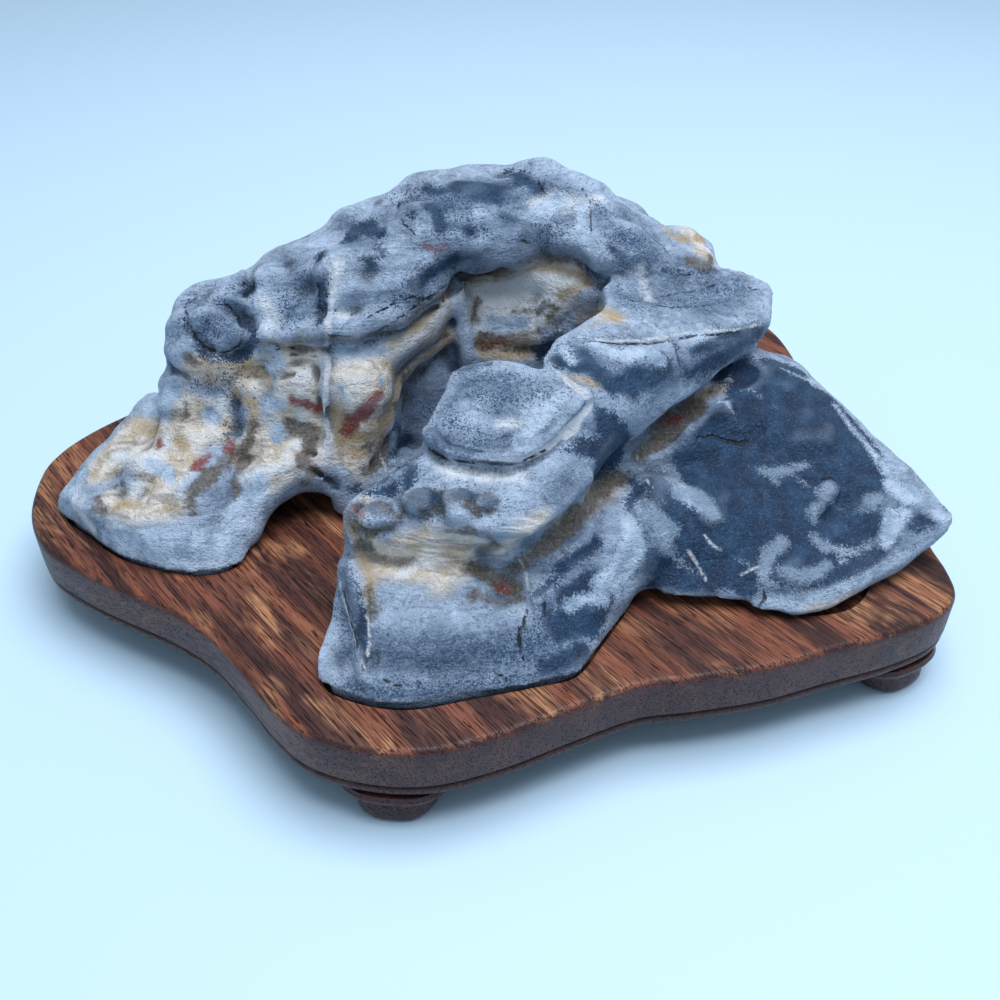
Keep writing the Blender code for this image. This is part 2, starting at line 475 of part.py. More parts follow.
def outline_distance(outline, x, y):
    """Distance to a flat outline, below zero inside it."""
    nearest, inside = None, False
    for (x0, y0), (x1, y1) in zip(outline, outline[1:] + outline[:1]):
        run_x, run_y = x1 - x0, y1 - y0
        share = ((x - x0) * run_x + (y - y0) * run_y) / (run_x * run_x + run_y * run_y)
        share = np.clip(share, 0.0, 1.0)
        gap = np.hypot(x - x0 - run_x * share, y - y0 - run_y * share)
        nearest = gap if nearest is None else np.minimum(nearest, gap)
        crosses = ((y0 > y) != (y1 > y)) & (x < run_x * (y - y0) / (run_y or 1e-9) + x0)
        inside = crosses if inside is False else inside ^ crosses
    return np.where(inside, -nearest, nearest)


def shape_relief(stone):
    """Lumps, rolls, grooves and pits of the skin."""
    for middle, radii, turn in LUMPS.values():
        stone.add(ball(middle, radii, turn), 2.0)
    for radius, path in ROLLS.values():
        stone.add(limb(*[(*point, radius) for point in path]), 1.6)
    for middle, radii, turn in PITS.values():
        stone.cut(ball(middle, radii, turn), 1.6)
    for radius, path in GROOVES.values():
        stone.cut(limb(*[(*point, radius) for point in path]), 0.5 + 0.3 * radius)


def rest_on_board(stone):
    """Trim the underside: flat in the seats and clear of the board between them."""
    x, y, z = stone.axes[0][:, None], stone.axes[1][None, :], stone.axes[2][None, None, :]
    seats = np.min([outline_distance(smooth_outline(outline, 2).tolist(), x, y)
                    for outline in SEATS.values()], axis=0)
    clear = np.minimum(seats[:, :, None], BOARD_CLEARANCE - z)
    stone.values = np.maximum(stone.values, clear)
    stone.values = np.maximum(stone.values, TOUCHING_GAP - SEAT_DEPTH - z)


def rock_field():
    stone = Stone(ROCK_LOW, ROCK_HIGH, GRID_STEP)
    shape_masses(stone)
    shape_hollows(stone)
    shape_relief(stone)
    x, y, z = (stone.axes[0][:, None, None], stone.axes[1][None, :, None],
               stone.axes[2][None, None, :])
    off_ridge = limb(*ROUGH_SPINE)[0](x, y, z)
    rough = SMOOTH_SHARE + (1.0 - SMOOTH_SHARE) * np.clip(1.0 - off_ridge / ROUGH_REACH, 0.0, 1.0)
    stone.values = stone.values + rough * ripples(x, y, z)
    rest_on_board(stone)
    return stone


def make_material(name, color, roughness):
    material = bpy.data.materials.new(name)
    material.use_nodes = True
    shader = material.node_tree.nodes["Principled BSDF"]
    shader.inputs["Base Color"].default_value = (*color, 1.0)
    shader.inputs["Roughness"].default_value = roughness
    shader.inputs["Metallic"].default_value = 0.0
    return material


def make_object(name, points, faces, material):
    mesh = bpy.data.meshes.new(name)
    mesh.from_pydata(((np.asarray(points) - MIDDLE) * MM).tolist(), [], faces)
    mesh.materials.append(material)
    item = bpy.data.objects.new(name, mesh)
    bpy.context.scene.collection.objects.link(item)
    return item


# The board's outline at its top edge, anticlockwise from the left lobe.
BOARD_OUTLINE = [
    (-120, -4), (-117, -21), (-109, -35), (-97, -44.5), (-84, -52), (-71, -59), (-60, -67),
    (-51, -77), (-42, -88), (-33, -96), (-20, -100.5), (-6, -101), (9, -96.5), (26, -88.5),
    (40, -82.5), (53, -80.5), (70, -77), (86, -71.5), (101, -66.5), (113, -60.5), (119.5, -53),
    (120.5, -44), (119.5, -33), (121.5, -20), (121, -8), (116, 8), (109, 26), (105, 46), (105, 62),
    (102, 78), (95, 90), (82, 97), (64, 97), (46, 91), (26, 81), (6, 71), (-16, 64), (-40, 59),
    (-62, 54), (-80, 46), (-94, 36), (-106, 25), (-114, 15), (-118.5, 6),
]
OUTLINE_STEPS = 2

# The moulding's half-round edge under the board, and the feet.
MOULDING_INSET = 0.2
MOULDING_EDGE_STEPS = 4
FOOT_PLACES = {"front": (-16, -101), "right": (111, -62), "back": (92, 91), "left": (-119, 2)}
FOOT_DEPTH = 15.0
FOOT_POINTS = 9
# Each level of a foot: its height, the inset of its outer face and its half length.
FOOT_LEVELS = [(0.0, 1.0, 9.6), (1.4, 0.5, 10.2), (4.6, 1.3, 10.8), (6.4, 0.9, 11.8),
               (7.2, -0.3, 12.6), (8.6, -0.6, 13.0), (9.7, 0.0, 12.8)]


def smooth_outline(points, steps):
    """A closed smooth curve through an outline's points."""
    curve = []
    count = len(points)
    for i in range(count):
        before, start, end, after = (np.array(points[(i + j) % count], float) for j in (-1, 0, 1, 2))
        for step in range(steps):
            t = step / steps
            curve.append(0.5 * (2 * start + (end - before) * t
                                + (2 * before - 5 * start + 4 * end - after) * t ** 2
                                + (3 * start - before - 3 * end + after) * t ** 3))
    return np.array(curve)


def outward(outline):
    """The outward direction at each point of an anticlockwise outline."""
    along = np.roll(outline, -1, axis=0) - np.roll(outline, 1, axis=0)
    normals = np.stack([along[:, 1], -along[:, 0]], axis=1)
    return normals / np.linalg.norm(normals, axis=1)[:, None]


def loft(name, rings, material):
    """A closed solid through rings of points, from the lowest ring to the highest."""
    count = len(rings[0])
    points = [tuple(point) for ring in rings for point in ring]
    faces = [tuple(reversed(range(count)))]
    for level in range(len(rings) - 1):
        low, high = level * count, (level + 1) * count
        for i in range(count):
            following = (i + 1) % count
            faces.append((low + i, low + following, high + following, high + i))
    faces.append(tuple(range((len(rings) - 1) * count, len(rings) * count)))
    return make_object(name, points, faces, material)


def ring_at(outline, height):
    return [(x, y, height) for x, y in outline]


def build_board(outline, wood):
    """The thick board with its eased top edge, and the seats let into its top."""
    normals = outward(outline)
    low = BOARD_TOP - BOARD_THICKNESS
    rings = [ring_at(outline - normals * 0.6, low), ring_at(outline, low + 0.8)]
    for step in range(4):
        angle = math.radians(90.0 * step / 3)
        inset = BOARD_EDGE_RADIUS * (1.0 - math.cos(angle))
        height = BOARD_TOP - BOARD_EDGE_RADIUS * (1.0 - math.sin(angle))
        rings.append(ring_at(outline - normals * inset, height))
    board = loft("stand_board", rings, wood)
    for name, corners in SEATS.items():
        seat = smooth_outline(corners, 2)
        seat = seat + outward(seat) * SEAT_CLEARANCE
        cutter = loft("seat_cutter_" + name, [ring_at(seat, BOARD_TOP - SEAT_DEPTH),
                                              ring_at(seat, BOARD_TOP + 1.0)], wood)
        cutter.hide_render = True
        cutter.display_type = "WIRE"
        cut = board.modifiers.new("seat_" + name, "BOOLEAN")
        cut.operation = "DIFFERENCE"
        cut.object = cutter
    return board


def build_moulding(outline, wood):
    """The plate with a half-round edge that lies under the board."""
    normals = outward(outline)
    low = BOARD_TOP - BOARD_THICKNESS - TOUCHING_GAP - MOULDING_HEIGHT
    radius = MOULDING_HEIGHT / 2.0
    rings = []
    for step in range(MOULDING_EDGE_STEPS + 1):
        angle = math.radians(-90.0 + 180.0 * step / MOULDING_EDGE_STEPS)
        inset = MOULDING_INSET + radius * (1.0 - math.cos(angle))
        rings.append(ring_at(outline - normals * inset, low + radius * (1.0 + math.sin(angle))))
    return loft("stand_moulding", rings, wood)


def build_foot(name, outline, wood):
    """A bracket foot whose outer face follows the board's edge, with a rolled shoulder."""
    place = np.array(FOOT_PLACES[name])
    middle = int(np.argmin(np.linalg.norm(outline - place, axis=1)))
    rolled = np.roll(outline, len(outline) // 2 - middle, axis=0)
    middle = len(outline) // 2
    lengths = np.concatenate([[0.0], np.cumsum(np.linalg.norm(np.diff(rolled, axis=0), axis=1))])
    lengths -= lengths[middle]
    normals = outward(rolled)
    inward = -normals[middle]
    rings = []
    for height, inset, half in FOOT_LEVELS:
        marks = np.linspace(-half, half, FOOT_POINTS)
        outer = np.stack([np.interp(marks, lengths, rolled[:, i] - normals[:, i] * inset)
                          for i in range(2)], axis=1)
        ends = np.array([outer[-1] + inward * FOOT_DEPTH, outer[0] + inward * FOOT_DEPTH])
        rings.append(ring_at(np.concatenate([outer, ends]), height))
    return loft("stand_foot_" + name, rings, wood)


def keep_largest_body(mesh):
    """Delete every loose piece of a mesh but the one with the most corners."""
    body = bmesh.new()
    body.from_mesh(mesh)
    unseen = set(body.verts)
    pieces = []
    while unseen:
        edge_of_piece = [unseen.pop()]
        piece = set(edge_of_piece)
        while edge_of_piece:
            corner = edge_of_piece.pop()
            for edge in corner.link_edges:
                other = edge.other_vert(corner)
                if other not in piece:
                    piece.add(other)
                    edge_of_piece.append(other)
        unseen -= piece
        pieces.append(piece)
    pieces.sort(key=len)
    for piece in pieces[:-1]:
        bmesh.ops.delete(body, geom=list(piece), context="VERTS")
    body.to_mesh(mesh)
    body.free()


def build_rock():
    stone = rock_field()
    points, faces = surface_net(stone.values, stone.low, stone.step)
    material = make_material("stone", (0.33, 0.36, 0.42), 0.85)
    rock = make_object("rock", points, faces, material)
    even = rock.modifiers.new("even_skin", "REMESH")
    even.mode = "VOXEL"
    even.voxel_size = SKIN_STEP * MM
    depsgraph = bpy.context.evaluated_depsgraph_get()
    rock.data = bpy.data.meshes.new_from_object(rock.evaluated_get(depsgraph))
    rock.modifiers.clear()
    keep_largest_body(rock.data)
    rock.location.z = BOARD_TOP * MM
    thin = rock.modifiers.new("fewer_faces", "DECIMATE")
    thin.ratio = ROCK_TRIANGLES / (2.0 * len(rock.data.polygons))
    return rock


def build_stand():
    wood = make_material("wood", (0.30, 0.10, 0.05), 0.5)
    dark_wood = make_material("dark_wood", (0.16, 0.06, 0.045), 0.35)
    outline = smooth_outline(BOARD_OUTLINE, OUTLINE_STEPS)
    build_board(outline, wood)
    build_moulding(outline, dark_wood)
    for name in FOOT_PLACES:
        build_foot(name, outline, dark_wood)


def clear_scene():
    for item in list(bpy.data.objects):
        bpy.data.objects.remove(item, do_unlink=True)


clear_scene()
build_rock()
build_stand()
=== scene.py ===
"""Scene of the scholar's rock in its carved wooden stand.

Places are in millimetres, as in the solids, and turned into metres where the meshes are made.
The stone and the wood are shaped from the same named values as the solids, on finer steps.
"""
import math

import bmesh
import bpy
import numpy as np
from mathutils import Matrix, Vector
from mathutils.bvhtree import BVHTree


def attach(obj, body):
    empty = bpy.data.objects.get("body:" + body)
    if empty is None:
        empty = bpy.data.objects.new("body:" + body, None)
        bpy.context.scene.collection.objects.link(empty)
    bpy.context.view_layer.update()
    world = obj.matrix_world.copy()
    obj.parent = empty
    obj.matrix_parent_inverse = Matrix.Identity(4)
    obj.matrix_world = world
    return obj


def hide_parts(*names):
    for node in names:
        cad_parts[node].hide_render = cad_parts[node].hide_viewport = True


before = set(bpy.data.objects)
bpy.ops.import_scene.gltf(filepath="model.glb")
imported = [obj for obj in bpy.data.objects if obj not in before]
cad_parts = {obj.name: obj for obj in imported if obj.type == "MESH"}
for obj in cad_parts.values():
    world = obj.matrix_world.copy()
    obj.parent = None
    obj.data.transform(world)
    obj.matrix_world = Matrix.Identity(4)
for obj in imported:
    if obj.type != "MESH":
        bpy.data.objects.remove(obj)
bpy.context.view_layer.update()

MM = 0.001
# The plan's middle, which is at the origin in the frame.
MIDDLE = (0.6, -2.05, 0.0)

# The stand's sizes.
BOARD_TOP = 25.0
BOARD_THICKNESS = 11.5
MOULDING_HEIGHT = 3.2
TOUCHING_GAP = 0.3
SEAT_DEPTH = 2.5
SEAT_CLEARANCE = 1.1
# How far the rock's underside stays above the board between its seats.
BOARD_CLEARANCE = 1.2

# The grid that the rock is worked out on: its corners, its step and the value far outside.
ROCK_LOW = (-116.0, -98.0, -6.0)
ROCK_HIGH = (130.0, 76.0, 86.0)
GRID_STEP = 0.95
FAR_OUTSIDE = 60.0
# How far around a form the grid is worked out again.
ADD_MARGIN = 12.0
CUT_MARGIN = 4.0
# Two faces of a block whose directions differ by less than this are one plane.
SAME_DIRECTION = 0.02
# Kept from dividing by zero.
TINY = 1e-6

# The camera: a square picture, its focal length in pixels, its tilt and its place.
PICTURE_SIZE = 1000.0
FOCAL_LENGTH = 1050.0
CAMERA_TILT = 38.0
CAMERA_PLACE = (7.9, -237.95, 200.0)


# ---------------------------------------------------------------- fields of distances
def smooth_min(first, second, blend):
    """The nearer of two distances, with the crease between them rounded over a width."""
    share = np.clip(0.5 + 0.5 * (second - first) / blend, 0.0, 1.0)
    return second + (first - second) * share - blend * share * (1.0 - share)


def smooth_max(first, second, blend):
    """The further of two distances, with the edge between them rounded over a width."""
    return -smooth_min(-first, -second, blend)


def ball(center, radii, turn=0.0):
    """Distance to an ellipsoid turned about the vertical by a number of degrees."""
    cosine, sine = math.cos(math.radians(turn)), math.sin(math.radians(turn))

    def distance(x, y, z):
        along = (x - center[0]) * cosine + (y - center[1]) * sine
        across = (y - center[1]) * cosine - (x - center[0]) * sine
        up = z - center[2]
        near = np.sqrt((along / radii[0]) ** 2 + (across / radii[1]) ** 2 + (up / radii[2]) ** 2)
        steep = np.sqrt((along / radii[0] ** 2) ** 2 + (across / radii[1] ** 2) ** 2
                        + (up / radii[2] ** 2) ** 2)
        return near * (near - 1.0) / np.maximum(steep, TINY)

    reach = max(radii[0], radii[1])
    low = (center[0] - reach, center[1] - reach, center[2] - radii[2])
    high = (center[0] + reach, center[1] + reach, center[2] + radii[2])
    return distance, low, high


def limb(*stations):
    """Distance to a round limb through stations of x, y, z and radius."""
    def distance(x, y, z):
        nearest = None
        for start, end in zip(stations[:-1], stations[1:]):
            run = [end[i] - start[i] for i in range(3)]
            length = sum(value * value for value in run)
            share = ((x - start[0]) * run[0] + (y - start[1]) * run[1]
                     + (z - start[2]) * run[2]) / length
            share = np.clip(share, 0.0, 1.0)
            radius = start[3] + (end[3] - start[3]) * share
            gap = np.sqrt((x - start[0] - run[0] * share) ** 2
                          + (y - start[1] - run[1] * share) ** 2
                          + (z - start[2] - run[2] * share) ** 2) - radius
            nearest = gap if nearest is None else np.minimum(nearest, gap)
        return nearest

    low = [min(point[i] - point[3] for point in stations) for i in range(3)]
    high = [max(point[i] + point[3] for point in stations) for i in range(3)]
    return distance, low, high


def block(corners, rounding):
    """Distance to the convex block that its corners span, with rounded edges."""
    hull = bmesh.new()
    for corner in corners:
        hull.verts.new(corner)
    bmesh.ops.convex_hull(hull, input=hull.verts)
    middle = np.mean(np.array(corners), axis=0)
    planes = []
    for face in hull.faces:
        normal = np.array(face.normal)
        offset = float(normal @ np.array(face.verts[0].co))
        if normal @ middle > offset:
            normal, offset = -normal, -offset
        if not any(np.allclose(normal, other, atol=SAME_DIRECTION) for other, _ in planes):
            planes.append((normal, offset))
    hull.free()

    def distance(x, y, z):
        furthest = None
        for normal, offset in planes:
            level = normal[0] * x + normal[1] * y + normal[2] * z - offset
            furthest = level if furthest is None else smooth_max(furthest, level, rounding)
        return furthest

    low = [min(corner[i] for corner in corners) for i in range(3)]
    high = [max(corner[i] for corner in corners) for i in range(3)]
    return distance, low, high


class Stone:
    """A solid kept as distances on a grid: below zero inside it, above zero outside."""

    def __init__(self, low, high, step):
        self.low, self.step = low, step
        self.axes = [np.arange(low[i], high[i] + step, step, dtype=np.float32) for i in range(3)]
        sizes = [len(axis) for axis in self.axes]
        self.values = np.full(sizes, FAR_OUTSIDE, dtype=np.float32)

    def window(self, low, high, margin):
        """The part of the grid around a form, and its coordinates."""
        spans = []
        for i, axis in enumerate(self.axes):
            first = int(np.searchsorted(axis, low[i] - margin))
            last = int(np.searchsorted(axis, high[i] + margin))
            spans.append(slice(first, max(last, first + 1)))
        x, y, z = (axis[span] for axis, span in zip(self.axes, spans))
        return tuple(spans), x[:, None, None], y[None, :, None], z[None, None, :]

    def add(self, form, blend):
        """Join a form on, with the crease between rounded over a width."""
        distance, low, high = form
        spans, x, y, z = self.window(low, high, ADD_MARGIN + blend)
        self.values[spans] = smooth_min(self.values[spans], distance(x, y, z), blend)

    def cut(self, form, blend):
        """Take a form away, with the edge rounded over a width."""
        distance, low, high = form
        spans, x, y, z = self.window(low, high, CUT_MARGIN + blend)
        self.values[spans] = smooth_max(self.values[spans], -distance(x, y, z), blend)


def surface_net(values, low, step):
    """Corner points and four-sided faces of the surface where the grid's values cross zero."""
    inside = values < 0.0
    cells = tuple(size - 1 for size in values.shape)
    total = np.zeros(cells + (3,), dtype=np.float32)
    count = np.zeros(cells, dtype=np.float32)
    for axis in range(3):
        near = [slice(None)] * 3
        far = [slice(None)] * 3
        near[axis], far[axis] = slice(None, -1), slice(1, None)
        first, second = values[tuple(near)], values[tuple(far)]
        crossing = inside[tuple(near)] != inside[tuple(far)]
        share = np.where(crossing, first / np.where(crossing, first - second, 1.0), 0.0)
        others = [other for other in range(3) if other != axis]
        for corner in ((0, 0), (0, 1), (1, 0), (1, 1)):
            pick = [slice(None)] * 3
            for other, side in zip(others, corner):
                pick[other] = slice(side, side + cells[other])
            hit = crossing[tuple(pick)]
            count += hit
            total[..., axis] += share[tuple(pick)]
            for other, side in zip(others, corner):
                total[..., other] += hit * side
    used = count > 0
    number = np.full(cells, -1, dtype=np.int64)
    number[used] = np.arange(int(used.sum()))
    points = np.argwhere(used) + total[used] / count[used][:, None]
    points = points * step + np.array(low)
    faces = []
    for axis in range(3):
        near = [slice(1, -1)] * 3
        far = [slice(1, -1)] * 3
        near[axis], far[axis] = slice(None, -1), slice(1, None)
        leaving = inside[tuple(near)] & ~inside[tuple(far)]
        entering = ~inside[tuple(near)] & inside[tuple(far)]
        second, third = (axis + 1) % 3, (axis + 2) % 3
        for crossing, turned in ((leaving, False), (entering, True)):
            base = np.argwhere(crossing)
            base[:, second] += 1
            base[:, third] += 1
            ring = []
            for back_second, back_third in ((1, 1), (0, 1), (0, 0), (1, 0)):
                cell = base.copy()
                cell[:, second] -= back_second
                cell[:, third] -= back_third
                ring.append(number[cell[:, 0], cell[:, 1], cell[:, 2]])
            faces.append(np.stack(ring[::-1] if turned else ring, axis=1))
    return points, np.concatenate(faces).tolist()


# ---------------------------------------------------------------- the rock
# The rock's main masses in the order in which they are joined: each form and its blend.
MASSES = {
    "back_body": (block([
        (-58, 18, -4), (-40, 44, -4), (0, 58, -4), (45, 60, -4), (74, 46, -4), (82, 14, -4),
        (-52, 16, 42), (-20, 34, 50), (14, 44, 56), (44, 42, 52), (64, 52, 34), (74, 36, 30),
        (62, 26, 38), (30, 0, -4), (-20, 0, -4), (-20, 14, 10), (35, 6, 30)], 5.0), 4.0),
    # Buttresses down the back.
    "back_buttress_left": (limb((-44, 34, 0, 10), (-41, 36, 24, 9), (-28, 33, 44, 9)), 6.0),
    "back_buttress_middle": (limb((-4, 50, 0, 11), (2, 48, 30, 11), (8, 42, 50, 10)), 6.0),
    "back_buttress_right": (limb((30, 56, 0, 9), (38, 50, 28, 10), (40, 40, 52, 10)), 6.0),
    # The long ridge arches over the hollow from the left knob to the right shelf.
    "ridge": (limb(
        (-65, 3, 39.5, 11), (-45, 10, 45, 15), (-23, 22, 49, 18), (-4, 27, 55, 18.5),
        (14, 30, 58, 17.5), (29, 27, 54, 16), (42, 23, 50, 13.2), (55, 22, 45.5, 13)), 5.0),
    "ridge_swell_left": (ball((-24, 8, 50), (19, 13, 14), 10), 4.0),
    "ridge_swell_right": (ball((35, 18, 56), (14, 11.5, 10.5), -10), 4.0),
    # The left column and its spreading foot.
    "left_column": (limb((-67, 4, 40, 12.5), (-68, -2, 28, 11), (-70, -10, 12, 14)), 4.0),
    "left_foot": (block([
        (-109, -22, 0), (-108, -20, 6), (-105, -16, 8), (-98, -5, 13), (-88, 5, 21), (-101, -30, 0),
        (-85, -43, 0), (-70, -48, 0), (-61, -48, 0), (-55, -43, 2), (-71, -34, 17), (-60, -34, 14),
        (-92, 14, -4), (-60, 10, -4), (-62, -8, 26), (-86, -27, 14), (-103, -26.5, 8),
        (-92, -35.5, 9.5), (-78, -41.5, 9.5), (-64, -43, 8), (-108, -20, -4), (-101, -28, -4),
        (-85, -41, -4), (-62, -46, -4)], 0.8), 3.0),
    # The wall between the column and the bulging lobe right of it.
    "wall": (block([
        (-60, -6, 42), (-36, -6, 44), (-20, 0, 44), (-58, -20, 18), (-48, -25, 11), (-38, -26, 9),
        (-28, -26, 5), (-17, -5, 34), (-20, -16, 10), (-60, 22, 40), (-18, 24, 44), (-60, 22, -4),
        (-18, 20, -4), (-33, -22, -4), (-24, -26, -4)], 3.0), 4.0),
    "wall_top_roll": (limb((-54, -3, 38.5, 4.5), (-42, -2.5, 38.5, 5), (-31, -2, 38.5, 5.5)), 2.0),
    "lobe": (limb(
        (-31, -2, 39, 6), (-28, -7.5, 31, 9.5), (-28.5, -10, 23, 8.5), (-30, -14.5, 13, 6)), 2.5),
    "wall_foot_roll": (limb(
        (-57, -31, 4, 6), (-53, -25, 10, 6.5), (-46, -20, 14, 6.5), (-38, -19, 13, 5)), 3.0),
    # The front limb.
    "plateau": (block([
        (-3, -28, 48), (7, -24, 49), (20, -31, 50), (28, -38, 49), (29, -41, 46), (18, -49, 41),
        (10, -51, 38), (-3, -48, 37), (-9, -41, 40), (-6, -35, 45), (-14, -28, 18), (28, -26, 18),
        (31, -48, 18), (-12, -52, 18)], 0.8), 1.5),
    "terrace": (block([
        (-28, -51, 24), (-25, -47, 26), (-14, -47, 31), (-11, -44, 34), (28, -44, 36),
        (30, -52, 34), (15, -64, 28), (8, -61, 28), (-3, -61, 28), (-14, -60, 25), (-24, -57, 21),
        (-28, -52, -4), (-28, -62, 4), (-20, -24, -4), (30, -34, -4), (28, -60, 8),
        (14, -60, 14)], 1.0), 2.0),
    "apron": (block([
        (-32, -83, 0), (-32, -81, 5), (-26, -87, 0), (-12, -91, 0), (3, -86, 0), (14, -84, 0),
        (25, -83, 0), (30, -75, 0), (39, -61, 3), (-29, -60, 18), (-24, -64, 18), (-5, -69, 16),
        (8, -69, 16), (22, -66, 15), (33, -56, 15), (39, -51, 16), (-29, -40, -4), (41, -40, -4),
        (-31, -82, -4), (-12, -90, -4), (24, -82, -4), (38, -60, -4)], 1.0), 2.0),
    "terrace_step": (block([
        (-9, -43, 38), (-3, -49, 36.8), (10, -52, 37), (20, -49.5, 39.5), (28, -42, 43),
        (-14, -58, 26.5), (-4, -61.5, 28), (8, -63.5, 29), (15, -65, 29.5), (21, -58.5, 31),
        (28, -52, 33.5), (0, -57, 33.8), (10, -58.8, 35.2), (17, -57.5, 36), (24, -50.5, 38),
        (-10, -54, 32), (-14, -45, 20), (28, -42, 22), (4, -50, 18), (-20, -50, 27.5),
        (-24, -52, 24.5), (-16, -57, 25)], 1.2), 2.0),
    # The cheek right of the plateau and the shoulder that joins the limb to the wing.
    "cheek": (block([
        (28, -38, 49), (39, -34, 42), (34, -42, 29), (26, -54, 31), (18, -49, 41), (20, -30, 20),
        (38, -24, 24), (24, -26, 48)], 0.8), 1.5),
    "wing_root_low": (limb((32, -42, 8, 15), (44, -40, 9, 13), (58, -38, 8, 12)), 5.0),
    "wing_root_high": (limb((36, -20, 24, 13), (56, -14, 22, 14)), 5.0),
    # The wedge between the limb's valley and its right flank, and the pale saddle.
    "flank_wedge": (block([
        (42, -48, 20), (35, -53.5, 19), (28, -60, 16.5), (17, -70.5, 12.5), (36, -44, 14),
        (20, -58, 10), (47, -52, 8), (38, -61, 5), (27, -73, 4), (18, -74, 8), (30, -50, 0),
        (44, -48, 0), (24, -66, 0)], 0.8), 2.0),
    "saddle": (limb((46, -39, 19, 5), (44.5, -46, 15.5, 5), (41, -52, 9, 5)), 3.0),
    # The shelf that juts out to the right over the wing.
    "shelf": (block([
        (33, 1, 56), (51, 22, 54), (60, 19, 52), (75, 21, 49), (82, 20, 46), (80, 4, 45),
        (55, -8, 50), (30, -16, 54), (18, -29, 51), (27, -37, 50), (39, -34, 42), (79, 2, 41),
        (75, -2, 38), (64, -12, 36), (53, -17, 36), (45, -26, 35), (40, -33, 32), (34, -42, 28),
        (58, 14, 36), (76, 12, 38), (28, -4, 34), (28, -30, 24)], 0.6), 2.0),
    # The dark wing, a slab that rises to a crest and ends in a tip past the board.
    "wing": (block([
        (73, 6, 35), (76, -2, 35), (89, -1, 30), (96, -8, 27), (105, -17, 22), (110, -27, 17),
        (119, -32, 14), (122, -37, 11), (120, -39.5, 8), (112, -41.5, 8.5), (101, -50, 7.5),
        (90, -56.5, 7), (112, -43.5, 4), (98, -53.5, 2), (88, -60, 2), (79, -63.5, 2), (68, -61, 2),
        (57, -58, 3), (44, -56, 4), (88, 12, 29), (100, 2, 8), (95, 16, 3), (70, 32, 3),
        (44, -8, 26), (40, -36, 18), (88, -50, -4), (60, -30, -4), (84, 0, -4)], 0.8), 3.0),
    "back_bulge": (ball((60, 46, 37), (13, 14, 14)), 4.0),
    # The heart of the stone, low down between the feet.
    "heart": (block([
        (-5, -36, -4), (70, -34, -4), (72, 16, -4), (-5, 10, -4), (0, -30, 13), (60, -26, 18),
        (64, 10, 20), (5, 6, 12)], 3.0), 4.0),
}
# Hollows, and what stands in them, in the order in which they are made.
HOLLOWS = {
    # The central basin under the ridge, its back wall and its mouth.
    "basin": (Stone.cut, ball((9, -1, 40), (26, 23.5, 24), 25), 3.0),
    "basin_wall": (Stone.add, block([
        (-7, 12, 21), (-2, 10, 21), (22, 9.5, 21), (36, 5, 21), (-7, 12, 46), (-2, 11, 50),
        (24, 9.5, 52), (36, 5, 50), (-7, 32, 21), (36, 32, 21), (-7, 32, 46),
        (36, 32, 52)], 0.8), 2.0),
    "basin_mouth": (Stone.cut, ball((11, -3, 56), (23, 19.5, 26)), 1.5),
    # The tan band that runs down from the basin under the ridge's lip.
    "tan_band": (Stone.add, limb(
        (-20.5, -0.5, 37.5, 6.5), (-15.5, 3.8, 40, 6.5), (-10.5, 8.6, 43, 6.5),
        (-5.5, 12.8, 45, 5)), 2.0),
    # The deep recess left of the front limb.
    "recess": (Stone.cut, ball((-11, -12, 23), (9, 19, 17), -15), 4.0),
    "recess_floor": (Stone.add, ball((-10, -14, -4), (24, 24, 12)), 3.0),
    # The low arch between the left foot and the front limb.
    "arch": (Stone.cut, ball((-42, -30, -4), (13, 24, 12.5), 10), 2.0),
    # The gap under the wing's front edge.
    "wing_gap": (Stone.cut, ball((61, -60, -6), (20, 16, 8.5)), 1.5),
    # The scoop in the front face under the terrace's lip.
    "scoop": (Stone.cut, ball((0, -75, 22), (19, 8, 7), 4), 3.0),
    # The valley between the front limb and the wing.
    "valley": (Stone.cut, limb((36, -66, 34, 9), (36, -52, 29, 8), (40, -40, 28, 6)), 4.0),
}
